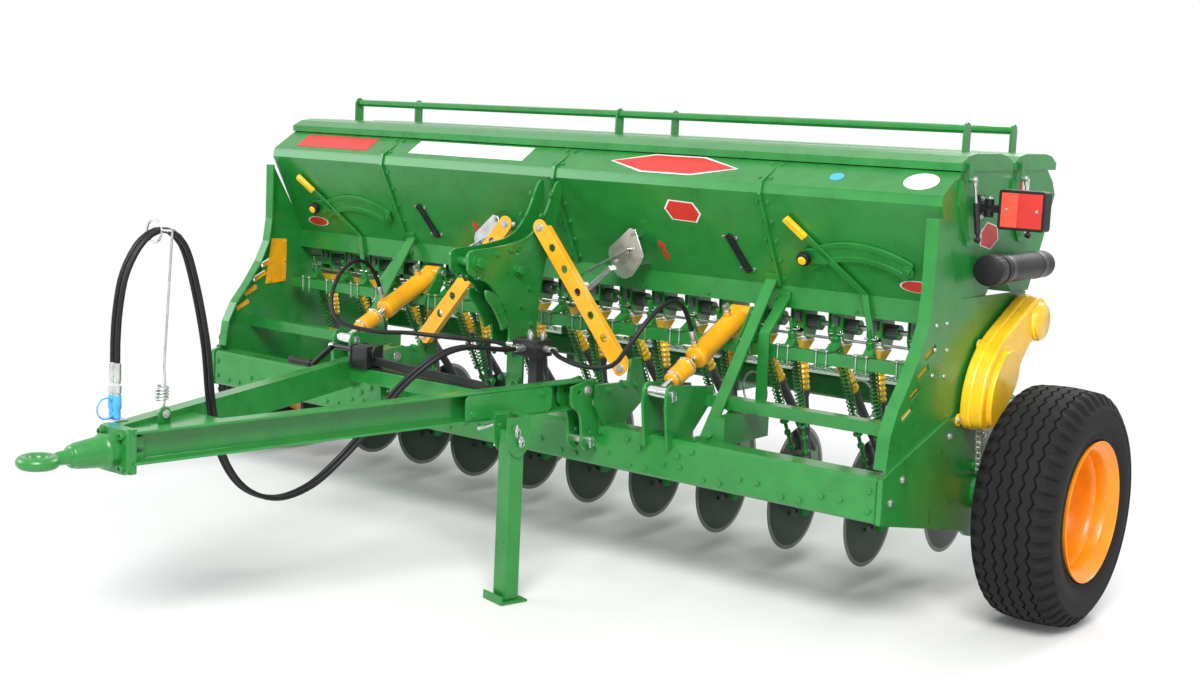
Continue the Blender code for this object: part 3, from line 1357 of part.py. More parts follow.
# Tail lamps on arms beside the hopper's ends
LAMP_OUT = 0.065
LAMP_WIDTH = 0.150
LAMP_Y = 0.548
LAMP_DEPTH = 0.052
LAMP_LOW = 1.250
LAMP_HEIGHT = 0.125
LAMP_ARM = 0.030
LAMP_ARM_HEIGHT = 0.048
LAMP_EDGE = 0.006


def tail_lamp(side, name):
    near = PLATE_OUT_X + LAMP_OUT
    middle_y, middle_z = LAMP_Y + LAMP_DEPTH / 2, LAMP_LOW + LAMP_HEIGHT / 2
    lamp = block((near, near + LAMP_WIDTH), (LAMP_Y, LAMP_Y + LAMP_DEPTH), (LAMP_LOW, LAMP_LOW + LAMP_HEIGHT), LAMP_EDGE)
    arm = block(
        (HOPPER_HALF + SEAT, near + LAMP_EDGE),
        (middle_y - LAMP_ARM / 2, middle_y + LAMP_ARM / 2),
        (middle_z - LAMP_ARM_HEIGHT / 2, middle_z + LAMP_ARM_HEIGHT / 2),
    )
    body = join([lamp, arm])
    if side < 0:
        body = mirrored(body)
    finish(name, body, BLACK)


# Shutter levers on the front panel
LEVER_TOP_SHARES = (-0.873, 0.673)  # of the hopper's half width: right lever, left lever
LEVER_RUN = 0.186
LEVER_TOP_Z = 1.200
LEVER_LOW_Z = 1.012
LEVER_BAR = 0.006
LEVER_WIDTH = 0.034
GRIP_RADIUS = 0.014
GRIP_LENGTH = 0.100
KNOB_RADIUS = 0.021
KNOB_LENGTH = 0.035
KNOB_SHARE = 0.375
GRIP_LEAN_SHARES = (-0.6, -0.42, 0.65)


def shutter_lever(side, name):
    """A flat lever on the front panel with its grip and knob."""
    out = STRUT_THICK + SEAT
    top_x = LEVER_TOP_SHARES[side > 0] * HOPPER_HALF
    low_x = top_x + LEVER_RUN
    half = LEVER_WIDTH / 2
    outline = [
        (top_x - half, LEVER_TOP_Z),
        (top_x + half, LEVER_TOP_Z),
        (low_x + half, LEVER_LOW_Z),
        (low_x - half, LEVER_LOW_Z),
    ]
    bar = prism(outline, out, out + LEVER_BAR, panel_place)
    knob_x, knob_z = top_x - half, LEVER_TOP_Z - (LEVER_TOP_Z - LEVER_LOW_Z) * KNOB_SHARE
    ear = [
        (knob_x - half, knob_z - half),
        (top_x + half * 4, knob_z - half),
        (top_x + half * 4, knob_z + half),
        (knob_x - half, knob_z + half),
    ]
    low = Vector(panel_place(top_x + half / 2, LEVER_TOP_Z - half, out + GRIP_RADIUS * 0.9))
    knob_low, knob_top = (panel_place(knob_x, knob_z, out + rise) for rise in (LEVER_BAR / 2, KNOB_LENGTH))
    pieces = [
        bar,
        prism(ear, out, out + LEVER_BAR, panel_place),
        rod(low, low + Vector(GRIP_LEAN_SHARES).normalized() * GRIP_LENGTH, GRIP_RADIUS, 8),
        rod(knob_low, knob_top, KNOB_RADIUS, 8),
    ]
    finish(name, join(pieces), YELLOW)


# Sprung rod that carries the supply hoses, on the drawbar's front gusset
HOLDER_X = 0.010
HOLDER_BACK = 0.145
HOLDER_Y = FLANGE_Y + HOLDER_BACK
HOLDER_FOOT = 0.050
HOLDER_COIL = 0.018
HOLDER_COIL_TOP = 0.745
HOLDER_WIRE = 0.004
HOLDER_TOP = 1.190
HOLDER_LEAN = 0.030


def hose_holder():
    x, half = HOLDER_X, HOLDER_FOOT / 2
    low = GUSSET_TOP + SEAT
    foot = block((x - half, x + half), (HOLDER_Y - half, HOLDER_Y + half), (low, low + HOLDER_COIL))
    coil = rod((x, HOLDER_Y, low + HOLDER_COIL / 2), (x, HOLDER_Y, HOLDER_COIL_TOP), HOLDER_COIL, 10)
    wire = rod((x, HOLDER_Y, HOLDER_COIL_TOP - HOLDER_WIRE), (x, HOLDER_Y + HOLDER_LEAN, HOLDER_TOP), HOLDER_WIRE, 6)
    finish("hose_holder", join([foot, coil, wire]), STEEL)


# Crank jack on the drawbar's cross tie
JACK_Y = TIE_Y
JACK_LOW = drawbar_point(TIE_Y).z + TIE_SIDE / 2 + SEAT
JACK_BOX = 0.080
JACK_X = -0.240
JACK_ARM_END = 0.290
CRANK_X = -0.450
CRANK_THROW = 0.110
CRANK_GRIP = 0.120


def crank_jack():
    half = JACK_BOX / 2
    axis_z = JACK_LOW + half * 1.4
    box = block((JACK_X - JACK_BOX, JACK_X), (JACK_Y - half, JACK_Y + half), (JACK_LOW, JACK_LOW + JACK_BOX))
    shaft = rod((JACK_X - half, JACK_Y, axis_z), (CRANK_X - half / 4, JACK_Y, axis_z), half / 4, 8)
    throw = Vector((0, -0.85, -0.5)) * CRANK_THROW
    start = Vector((CRANK_X, JACK_Y, axis_z))
    crank = strap(start, start + throw, half / 2.5, half / 2.5)
    handle = rod(start + throw, start + throw - Vector((CRANK_GRIP, 0, 0)), half / 3.5, 8)
    arm = block((JACK_X - half, JACK_ARM_END), (JACK_Y - half / 3, JACK_Y + half / 3), (JACK_LOW, JACK_LOW + half))
    finish("crank_jack", join([box, shaft, crank, handle, arm]), BLACK)


def cord(name, points, radius, paint=BLACK):
    """A tube on a smooth line through the route's points, straight over its first and its last stretch."""
    knots = [Vector(p) for p in points]
    route = [knots[0]]
    for p0, p1, p2, p3 in zip(knots, knots[1:], knots[2:], knots[3:]):
        steps = max(2, int((p2 - p1).length / (radius * 6)))
        for i in range(steps):
            t = i / steps
            route.append(0.5 * (2 * p1 + (p2 - p0) * t + (2 * p0 - 5 * p1 + 4 * p2 - p3) * t * t
                                + (3 * p1 - p0 - 3 * p2 + p3) * t * t * t))
    route += knots[-2:]
    curve = bpy.data.curves.new(name, "CURVE")
    curve.dimensions = "3D"
    curve.bevel_depth = radius
    curve.bevel_resolution = 2
    curve.use_fill_caps = True
    spline = curve.splines.new("POLY")
    spline.points.add(len(route) - 1)
    for point, place in zip(spline.points, route):
        point.co = (*place, 1)
    curve.materials.append(material_of(paint))
    tube = bpy.data.objects.new(name, curve)
    bpy.context.scene.collection.objects.link(tube)
    tube.parent = machine
    return tube


# Hydraulics: supply hoses up over their ring to the valve block, and one line to each cylinder
HOSE_RADIUS = 0.008
HOSE_SPACING = 0.022
VALVE_X = (0.110, 0.220)
VALVE_Y = (-0.030, 0.060)
VALVE_Z = (0.715, 0.775)
PEDESTAL_SIDE = 0.040
COUPLER_X = -0.100
COUPLER_BACK = 0.066
COUPLER_Y = FLANGE_Y + COUPLER_BACK
COUPLER_TOP = 0.790
COUPLER_RADIUS = 0.014


def valve_block():
    x = (VALVE_X[0] + VALVE_X[1]) / 2
    half = PEDESTAL_SIDE / 2
    block_piece = block(VALVE_X, VALVE_Y, VALVE_Z)
    post = block((x - half, x + half), (VALVE_Y[1] - PEDESTAL_SIDE, VALVE_Y[1]), (BEAM_TOP + SEAT, VALVE_Z[0] + half))
    finish("valve_block", join([block_piece, post]), BLACK)


def hose_couplers():
    """Two quick couplers parked on a plate that stands on the drawbar's gusset."""
    half = HOSE_SPACING
    low = drawbar_point(COUPLER_Y + half).z + DRAWBAR_HEIGHT / 2 + SEAT
    pieces = [
        block((COUPLER_X - half * 1.2, COUPLER_X + half * 1.6), (COUPLER_Y - half, COUPLER_Y + half), (low, low + SHEET)),
    ]
    for way in (-1, 1):
        x = COUPLER_X + way * HOSE_SPACING / 2
        spot = (x, COUPLER_Y)
        pieces.append(rod((*spot, low + SHEET / 2), (*spot, COUPLER_TOP), COUPLER_RADIUS * 0.86, 8))
    finish("hose_couplers", join(pieces), STEEL)


def supply_route(way):
    """From a coupler up over the ring, down behind the gusset, between the channels and up to the valve block."""
    x = COUPLER_X + way * HOSE_SPACING / 2
    port_x = (VALVE_X[0] + VALVE_X[1]) / 2 + (way - 1) * HOSE_SPACING / 2
    return [
        (x, COUPLER_Y, COUPLER_TOP + SEAT),
        (x, -1.534, 0.860),
        (x + 0.006, -1.531, 0.960),
        (x + 0.012, -1.512, 1.065),
        (x + 0.018, -1.458, 1.152),
        (x + 0.020, -1.384, 1.180),
        (x + 0.020, -1.316, 1.135),
        (x + 0.020, -1.268, 1.010),
        (x + 0.020, -1.225, 0.830),
        (x + 0.012, -1.195, 0.650),
        (x + 0.002, -1.145, 0.490),
        (x, -1.055, 0.370),
        (x, -0.920, 0.312),
        (x + 0.004, -0.775, 0.330),
        (x + 0.025, -0.655, 0.410),
        (x + 0.075, -0.570, 0.520),
        (x + 0.140, -0.505, 0.645),
        (x + 0.195, -0.410, 0.735),
        (x + 0.222, -0.290, 0.765),
        (port_x, -0.130, 0.747),
        (port_x, VALVE_Y[0] - SEAT, 0.745),
    ]


def cylinder_port(side, share):
    """The middle of a port's outer face and the direction that it faces."""
    x = side * CYLINDER_X
    eye = Vector((x, ROD_EYE_Y, ROD_EYE_Z))
    pin = Vector((x, LEVER_PIN_Y, LEVER_PIN_Z))
    line = (pin - eye).normalized()
    up = Vector((0, -line.z, line.y))
    return eye.lerp(pin, share) + up * (BARREL_RADIUS + PORT_HEIGHT), up


def cylinder_route(side):
    """From the valve block along the beam, up beside the cylinder and over into its port."""
    port, up = cylinder_port(side, PORT_SHARES[0])
    x = side * CYLINDER_X
    if side > 0:
        start = [(VALVE_X[1] + SEAT, 0.015, 0.745), (0.250, 0.015, 0.745)]
    else:
        start = [
            (VALVE_X[0] - SEAT, 0.005, 0.745),
            (0.075, 0.005, 0.745),
            (-0.020, -0.012, 0.745),
            (-0.150, -0.060, 0.745),
        ]
    return start + [
        (side * 0.350, -0.058, 0.737),
        (side * 0.490, -0.118, 0.733),
        (x - side * 0.095, -0.150, 0.757),
        (x - side * 0.040, -0.135, 0.830),
        (x - side * 0.012, -0.070, 0.915),
        (x, 0.020, 0.962),
        (x, 0.098, 0.942),
        tuple(port + up * 0.062),
        tuple(port + up * SEAT),
    ]


clear_scene()
machine = bpy.data.objects.new("machine", None)
machine.location = (0, -CENTRE_Y, 0)
bpy.context.scene.collection.objects.link(machine)

front_beam()
side_plate(1, "side_plate_left")
side_plate(-1, "side_plate_right")
rear_frame()
hopper()
lid("lid_front", LID_FRONT_Y, LID_SPLIT_Y - LID_GAP / 2)
lid("lid_rear", LID_SPLIT_Y + LID_GAP / 2, LID_REAR_Y)
for number, step in ((1, 0), (2, SPRING_STEP)):
    lid_spring(number, step)
headstock()
drawbar()
parking_leg()
hitch_eye()
rockshaft()
coulter_arms()
metering_line()
chain_guard()
document_tube()
hose_holder()
crank_jack()
valve_block()
hose_couplers()
for number, way in ((1, -1), (2, 1)):
    cord(f"hose_{number}", supply_route(way), HOSE_RADIUS)
for side, hand in ((1, "left"), (-1, "right")):
    cord(f"hose_{hand}", cylinder_route(side), HOSE_RADIUS)
    brace(side, f"brace_{hand}")
    cylinder(side, f"cylinder_{hand}")
    tyre(side, f"tyre_{hand}")
    rim(side, f"rim_{hand}")
    tail_lamp(side, f"tail_lamp_{hand}")
    shutter_lever(side, f"shutter_lever_{hand}")
for row, (row_name, y, z) in enumerate((("front", FRONT_DISC_Y, FRONT_DISC_Z), ("rear", REAR_DISC_Y, REAR_DISC_Z))):
    for number, x in enumerate(opener_xs(row), 1):
        disc(f"disc_{row_name}_{number:02}", x, y, z)
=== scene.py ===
# %% [markdown]
# # A trailed seed drill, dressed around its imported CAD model
# The real machine is three metres wide: a long steel hopper with two arched lids, twenty sprung disc
# openers under it, an A-shaped drawbar in front and a wheel at each side. The CAD model fixes every size.
# This script only dresses it: smooth discs and tyres, springs, bolts, hoses and paint.

from math import atan2, cos, degrees, hypot, pi, radians, sin, tau

import bmesh
import bpy
from mathutils import Matrix, Vector


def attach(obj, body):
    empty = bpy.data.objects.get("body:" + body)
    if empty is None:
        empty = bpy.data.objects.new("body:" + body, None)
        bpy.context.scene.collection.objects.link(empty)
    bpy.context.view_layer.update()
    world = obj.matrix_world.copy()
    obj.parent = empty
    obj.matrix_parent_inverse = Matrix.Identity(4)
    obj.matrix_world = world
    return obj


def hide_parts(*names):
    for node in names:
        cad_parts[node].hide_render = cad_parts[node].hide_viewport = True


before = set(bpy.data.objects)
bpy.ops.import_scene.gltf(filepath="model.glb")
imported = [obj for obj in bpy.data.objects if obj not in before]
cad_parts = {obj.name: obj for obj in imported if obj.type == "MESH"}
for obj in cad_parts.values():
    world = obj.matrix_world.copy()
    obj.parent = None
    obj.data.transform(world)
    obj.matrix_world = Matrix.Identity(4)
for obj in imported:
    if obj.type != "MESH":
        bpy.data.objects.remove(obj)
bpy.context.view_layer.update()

# %% [markdown]
# ## Where things are
# A drill is set out from its front beam: depths on the workshop drawing are measured back from the beam's
# front face, and heights from the ground. The shapes below use those depths, and one shift puts them in
# the frame's own coordinates. Every piece is moved by that shift when it is finished.

# %% Shared places
SHIFT = Vector((0, 0.2605, 0))
GAP = 0.0003
HANDS = ((1, "left"), (-1, "right"))
BEAM_TOP = 0.520
ROW_COUNT = 10
PITCH = 0.290
FIRST_ROW = -0.099
ARM_SHIFT = 0.030
FOLD = Vector((0.300, 1.321))
PANEL_FOOT = Vector((0.472, 1.005))
PANEL_HALF = 1.512
PLATE_FACE = 1.5203
SHIELD_FACE = 1.5285
RIM = Vector((0.424, 1.428))
BULGE = Vector((0.306, 1.354))


def opener_xs(row):
    """The middle of each disc in the front row, 0, or the rear row, 1."""
    first = FIRST_ROW + row * PITCH / 2
    return [(i - (ROW_COUNT - 1) / 2) * PITCH + first for i in range(ROW_COUNT)]


# %% [markdown]
# ## The camera
# The photograph is taken from the machine's front left, about chest high, five and a half metres away. The
# place, tilt and lens were solved from the straight edges of the beam, hopper and drawbar, and the small
# shift keeps the object where the photograph frames it.

# %% Camera
VIEW_TURN, VIEW_RISE, VIEW_ROLL = radians(39.225), radians(6.981), radians(2.327)
back = Vector((sin(VIEW_TURN) * cos(VIEW_RISE), -cos(VIEW_TURN) * cos(VIEW_RISE), sin(VIEW_RISE)))
level = Vector((cos(VIEW_TURN), sin(VIEW_TURN), 0))
upward = back.cross(level)
right = cos(VIEW_ROLL) * level + sin(VIEW_ROLL) * upward
upright = cos(VIEW_ROLL) * upward - sin(VIEW_ROLL) * level
camera = bpy.data.objects.new("camera", bpy.data.cameras.new("camera"))
bpy.context.scene.collection.objects.link(camera)
turn = Matrix((right, upright, back)).transposed().to_4x4()
camera.matrix_world = Matrix.Translation((3.6509, -4.0389, 1.5755)) @ turn
camera.data.sensor_width = 36
camera.data.lens = 48.42
camera.data.shift_x = 0.0616
camera.data.shift_y = -0.0286
camera.data.clip_end = 400
bpy.context.scene.camera = camera
print("camera at", [round(v, 2) for v in camera.matrix_world.translation])

# %% [markdown]
# ## Shapes from operators
# Nearly everything on a drill is sawn, folded, turned or bent, and bmesh has an operator for each: a cube
# scaled to a block, a cone for round bar, an outline extruded to plate, a profile spun to a wheel, and a
# small circle spun with a forward step to a spring. These helpers add such shapes to one open bmesh.


# %% Blocks and round bar
def block(shape, x, y, z, place=Matrix.Identity(4)):
    """A box between two values of x, of y and of z."""
    lows, highs = Vector((x[0], y[0], z[0])), Vector((x[1], y[1], z[1]))
    size = Matrix.Diagonal((*(highs - lows), 1))
    bmesh.ops.create_cube(shape, size=1, matrix=place @ Matrix.Translation((lows + highs) / 2) @ size)


def line_up(start, end):
    """The turn that lays z along a line and keeps x as level as it can be, and the line's length."""
    run = Vector(end) - Vector(start)
    deep = run.normalized()
    guide = Vector((1, 0, 0)) if abs(deep.x) < 0.99 else Vector((0, 1, 0))
    across = guide.cross(deep).normalized()
    return Matrix((deep.cross(across) * -1, across, deep)).transposed().to_4x4(), run.length


def bar(shape, start, end, radius, sides=16, end_radius=None):
    """A round bar or a cone between two points."""
    lay, length = line_up(start, end)
    place = Matrix.Translation((Vector(start) + Vector(end)) / 2) @ lay
    top = radius if end_radius is None else end_radius
    bmesh.ops.create_cone(
        shape, cap_ends=True, segments=sides, radius1=radius, radius2=top, depth=length, matrix=place
    )


def cross_bar(shape, spot, half, radius, sides=16):
    """A round bar along x, its middle at a spot."""
    reach = Vector((half, 0, 0))
    bar(shape, Vector(spot) - reach, Vector(spot) + reach, radius, sides)


def strip(shape, start, end, width, thickness):
    """A flat bar between two points, its width along x where the line allows."""
    lay, length = line_up(start, end)
    place = Matrix.Translation((Vector(start) + Vector(end)) / 2) @ lay
    block(shape, (-width / 2, width / 2), (-thickness / 2, thickness / 2), (-length / 2, length / 2), place)


# %% Plate, turned shapes and springs
def plate(shape, outline, low, high, place):
    """An outline pushed from low to high. place turns (u, v, depth) into (x, y, z)."""
    first = [shape.verts.new(place(u, v, low)) for u, v in outline]
    face = shape.faces.new(first)
    made = bmesh.ops.extrude_face_region(shape, geom=[face])
    moved = [thing for thing in made["geom"] if isinstance(thing, bmesh.types.BMVert)]
    for vert in moved:
        nearest = min(range(len(outline)), key=lambda i: (vert.co - first[i].co).length)
        vert.co = place(*outline[nearest], high)


def from_side(u, v, w):
    """(depth, height, x) to a point."""
    return Vector((w, u, v))


def from_above(u, v, w):
    """(x, depth, height) to a point."""
    return Vector((u, v, w))


def side_plate(shape, outline, x):
    """A plate whose outline is (depth, height) points."""
    plate(shape, outline, *x, from_side)


def front_plate(shape, outline, y):
    """A plate whose outline is (x, height) points."""
    plate(shape, outline, *y, lambda u, v, w: Vector((u, w, v)))


def lathe(shape, profile, centre, axis="X", sides=48):
    """A profile of (radius, run along the axis) points turned about an axis."""
    if isinstance(axis, str):
        quarter = pi / 2
        axis = {"X": Matrix.Rotation(quarter, 4, "Y"), "Y": Matrix.Rotation(-quarter, 4, "X")}.get(
            axis, Matrix.Identity(4)
        )
    place = Matrix.Translation(centre) @ axis
    loop = [shape.verts.new((0, radius, run)) for radius, run in profile]
    edges = [shape.edges.new(pair) for pair in zip(loop, loop[1:])]
    if profile[0][0] > 0:
        edges.append(shape.edges.new((loop[-1], loop[0])))
    before = set(shape.verts) - set(loop)
    bmesh.ops.spin(
        shape, geom=loop + edges, cent=(0, 0, 0), axis=(0, 0, 1), angle=tau, steps=sides, use_merge=True
    )
    made = [vert for vert in shape.verts if vert not in before]
    bmesh.ops.transform(shape, matrix=place, verts=made)
    bmesh.ops.remove_doubles(shape, verts=made, dist=GAP / 10)
    return [vert for vert in shape.verts if vert not in before]


def facing(way):
    """The turn that lays z along a direction."""
    return line_up((0, 0, 0), way)[0]


def drum(shape, spot, low, high, radius, axis="X", sides=40):
    """A solid round that runs from low to high along an axis."""
    lathe(shape, [(0, low), (radius, low), (radius, high), (0, high)], spot, axis, sides)


def wire_ring(shape, centre, radius, wire, axis="X", sides=40, around=10):
    """A closed ring of round wire."""
    turns = [tau * i / around for i in range(around)]
    lathe(shape, [(radius + wire * cos(a), wire * sin(a)) for a in turns], centre, axis, sides)


def spring(shape, start, end, radius, wire, turns, sides=6, per_turn=14):
    """A coil of round wire between two points."""
    lay, length = line_up(start, end)
    place = Matrix.Translation(start) @ lay
    ring = bmesh.ops.create_circle(
        shape, cap_ends=True, segments=sides, radius=wire,
        matrix=Matrix.Translation((radius, 0, 0)) @ Matrix.Rotation(pi / 2, 4, "X"),
    )["verts"]
    before = set(shape.verts) - set(ring)
    faces = list({face for vert in ring for face in vert.link_faces})
    steps = int(turns * per_turn)
    bmesh.ops.spin(
        shape, geom=faces, cent=(0, 0, 0), axis=(0, 0, 1), dvec=(0, 0, length / steps),
        angle=tau * turns, steps=steps, use_merge=False,
    )
    bmesh.ops.transform(shape, matrix=place, verts=[vert for vert in shape.verts if vert not in before])


def repeat(shape, unit, offsets):
    """Copies of a small bmesh, each moved by an offset, into a larger one."""
    pattern = bpy.data.meshes.new("pattern")
    unit.to_mesh(pattern)
    unit.free()
    shifted = Vector()
    for offset in offsets:
        pattern.transform(Matrix.Translation(Vector(offset) - shifted))
        shifted = Vector(offset)
        shape.from_mesh(pattern)
    bpy.data.meshes.remove(pattern)


def bolt(shape, spot, way, size=0.010, washer=True):
    """A hexagon head on its washer. size is half the width across corners."""
    spot, out = Vector(spot), Vector(way).normalized() * size
    if washer:
        bar(shape, spot - out * 0.2, spot + out * 0.18, size * 1.35, 16)
    bar(shape, spot, spot + out * 0.85, size, 6)


def arc(centre, radius, start, end, steps):
    """Points round a centre from one angle to another, both kept."""
    angles = [radians(start + (end - start) * i / steps) for i in range(steps + 1)]
    return [(centre[0] + radius * cos(a), centre[1] + radius * sin(a)) for a in angles]


def on_panel(x, height, out=0.0):
    """A point on the hopper's sloping front panel, moved out from it."""
    run = PANEL_FOOT - FOLD
    spot = FOLD + run * ((FOLD.y - height) / (FOLD.y - PANEL_FOOT.y))
    normal = Vector((run.y, -run.x)).normalized()
    spot = spot + normal * out
    return Vector((x, spot.x, spot.y))


def on_brow(x, share, out=0.0):
    """A point on the narrow upper panel: share 0 at its lower fold and 1 under the lid."""
    run = RIM - BULGE
    spot = BULGE + run * share + Vector((-run.y, run.x)).normalized() * out
    return Vector((x, spot.x, spot.y))


def panel_plate(shape, outline, low, high):
    """A plate on the sloping front panel, its outline in (x, height) points."""
    plate(shape, outline, low, high, on_panel)


# %% [markdown]
# ## Finishes
# Farm machinery wears thick enamel that is sprayed in one coat. Close up it has a slight orange peel, it
# dulls where dust settles, and it varies a little in tone. Each finish here is a Principled shader whose
# colour, roughness and bump come from noise in Object coordinates, so it needs no unwrapping and stays
# put when a piece turns.


# %% Material helper
def tinted(colour, factor):
    return (*[min(1.0, channel * factor) for channel in colour[:3]], 1.0)


def feed(node, inputs):
    """Gives each named input of a node a value, or a wire from another node's output."""
    for name, given in inputs.items():
        if isinstance(given, bpy.types.NodeSocket):
            node.id_data.links.new(given, node.inputs[name])
        else:
            node.inputs[name].default_value = given
    return node


def add(tree, kind, inputs):
    """A new node with its inputs fed."""
    return feed(tree.nodes.new("ShaderNode" + kind), inputs)


def math(tree, operation, first, second):
    """The output of a small sum on two outputs."""
    made = add(tree, "Math", {0: first, 1: second})
    made.operation = operation
    return made.outputs["Value"]


def finish_of(name, colour, roughness, metallic=0.0, grain=14.0, spread=0.12, bump=0.02, dust=0.0,
              coat=0.0, peel=260.0, rough_spread=0.10):
    """A finish with cloudy tone, fine bump and, where dust is given, dust that settles on upward faces."""
    made = bpy.data.materials.new(name)
    made.use_nodes = True
    tree = made.node_tree
    places = add(tree, "TexCoord", {}).outputs["Object"]
    cloud = add(tree, "TexNoise", {"Scale": grain, "Detail": 5.0, "Vector": places}).outputs["Fac"]
    tone = add(tree, "ValToRGB", {"Fac": cloud})
    for stop, place, factor in zip(tone.color_ramp.elements, (0.30, 0.72), (1 - spread, 1 + spread)):
        stop.position, stop.color = place, tinted(colour, factor)
    base = tone.outputs["Color"]
    smooth, matt = max(0.02, roughness - rough_spread), min(1.0, roughness + rough_spread)
    rough = add(tree, "MapRange", {"Value": cloud, "To Min": smooth, "To Max": matt})
    fine = add(tree, "TexNoise", {"Scale": peel, "Detail": 2.0, "Vector": places}).outputs["Fac"]
    relief = add(tree, "Bump", {"Strength": bump * 5, "Distance": 0.0006, "Height": fine})
    if dust:
        normal = add(tree, "NewGeometry", {}).outputs["Normal"]
        up = add(tree, "SeparateXYZ", {"Vector": normal}).outputs["Z"]
        settle = add(tree, "MapRange", {"From Min": 0.2, "To Max": dust, "Value": up}).outputs["Result"]
        mix = tree.nodes.new("ShaderNodeMix")
        mix.data_type = "RGBA"
        feed(mix, {"Factor": math(tree, "MULTIPLY", settle, cloud), "A": base, "B": (0.42, 0.36, 0.27, 1)})
        base = mix.outputs["Result"]
    feed(tree.nodes["Principled BSDF"], {
        "Base Color": base, "Metallic": metallic, "Roughness": rough.outputs["Result"],
        "Normal": relief.outputs["Normal"], "Coat Weight": coat, "Coat Roughness": 0.12,
    })
    return made


# %% The finishes of this machine
green = finish_of("green_enamel", (0.014, 0.205, 0.032), 0.30, dust=0.05, coat=0.20)
dark_green = finish_of("disc_enamel", (0.006, 0.055, 0.014), 0.40, dust=0.04)
yellow = finish_of("yellow_enamel", (0.94, 0.54, 0.012), 0.30, dust=0.03, coat=0.20)
amber = finish_of("amber_enamel", (0.92, 0.40, 0.010), 0.30, dust=0.03, coat=0.20)
rim_paint = finish_of("rim_enamel", (0.92, 0.27, 0.004), 0.36, coat=0.15)
black_paint = finish_of("black_enamel", (0.010, 0.010, 0.011), 0.38, dust=0.05)
black_plastic = finish_of("black_plastic", (0.010, 0.010, 0.011), 0.50, peel=900.0, bump=0.05)
hose_rubber = finish_of("hose_rubber", (0.008, 0.008, 0.009), 0.45, peel=700.0)
tyre_rubber = finish_of("tyre_rubber", (0.0085, 0.0085, 0.0095), 0.84, grain=22.0, spread=0.25, peel=420.0,
                        bump=0.06, dust=0.02)
zinc = finish_of("zinc_plate", (0.56, 0.58, 0.57), 0.30, metallic=0.9, grain=30.0, spread=0.14)
chrome = finish_of("chrome_rod", (0.75, 0.76, 0.78), 0.10, metallic=1.0, spread=0.03, rough_spread=0.03)
white_plate = finish_of("white_plate", (0.78, 0.79, 0.78), 0.30, spread=0.03)
red_plate = finish_of("red_plate", (0.60, 0.030, 0.022), 0.30, spread=0.06)
bright_red = finish_of("bright_red", (0.90, 0.085, 0.050), 0.24, spread=0.06, coat=0.4)
blue_cap = finish_of("blue_cap", (0.080, 0.420, 0.860), 0.38, spread=0.06)
grey_rubber = finish_of("grey_rubber", (0.085, 0.090, 0.095), 0.62, spread=0.15)
window_dark = finish_of("sight_window", (0.016, 0.020, 0.022), 0.12, spread=0.05, coat=0.6)
for rubber in (tyre_rubber, hose_rubber, black_plastic, dark_green):
    rubber.node_tree.nodes["Principled BSDF"].inputs["Specular IOR Level"].default_value = 0.30
SLOTS = {
    green: "green_paint", dark_green: "disc_paint", yellow: "yellow_paint", amber: "amber_paint",
    rim_paint: "rim_paint", black_paint: "black_paint", black_plastic: "black_plastic",
    hose_rubber: "hose_rubber", tyre_rubber: "tyre_rubber", zinc: "bright_steel", chrome: "bright_steel",
    white_plate: "bright_steel", red_plate: "amber_paint", bright_red: "amber_paint",
    blue_cap: "black_plastic", grey_rubber: "black_plastic", window_dark: "black_plastic",
}
print(len(bpy.data.materials), "materials so far")


# %% Finishing a piece
def piece(name, shape, finish, replaces=(), body="frame", slot=None, edge=0.0, angle=38, segments=2):
    """Turns an open bmesh into a piece that rides on a body, with its edges rounded where edge is given."""
    slot = slot or SLOTS[finish]
    bmesh.ops.translate(shape, verts=shape.verts[:], vec=SHIFT)
    bmesh.ops.recalc_face_normals(shape, faces=shape.faces[:])
    mesh = bpy.data.meshes.new(name)
    shape.to_mesh(mesh)
    shape.free()
    mesh.materials.append(finish)
    mesh.shade_smooth()
    mesh.set_sharp_from_angle(angle=radians(angle))
    made = bpy.data.objects.new(name, mesh)
    bpy.context.scene.collection.objects.link(made)
    if edge:
        soften = made.modifiers.new("rounded edges", "BEVEL")
        soften.width = edge
        soften.segments = segments
        soften.limit_method = "ANGLE"
        soften.angle_limit = radians(40)
    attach(made, body)
    if replaces:
        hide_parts(*replaces)
    return made


# %% [markdown]
# ## Daylight studio
# A large machine is photographed outdoors under a bright sky, so the studio copies that: a white sky dome
# for fill, one broad lamp high in front and to the left that draws soft highlights along the hopper, and
# a weaker one behind that rims the lids. The floor is plain and pale, and fades to white away from the
# machine, so that no horizon shows.

# %% Sky, floor and lamps
scene = bpy.context.scene
scene.view_settings.view_transform = "Standard"
world = bpy.data.worlds.new("studio")
world.use_nodes = True
scene.world = world
tree = world.node_tree
sky = feed(tree.nodes["Background"], {"Color": (0.93, 0.96, 1.0, 1), "Strength": 0.52})
plain = add(tree, "Background", {"Color": (1, 1, 1, 1)})
seen = add(tree, "LightPath", {}).outputs
straight = math(tree, "MAXIMUM", seen["Is Camera Ray"], seen["Is Transmission Ray"])
mirrored = math(tree, "MAXIMUM", straight, seen["Is Glossy Ray"])
either = add(
    tree, "MixShader", {"Fac": mirrored, 1: sky.outputs["Background"], 2: plain.outputs["Background"]}
)
feed(tree.nodes["World Output"], {"Surface": either.outputs["Shader"]})

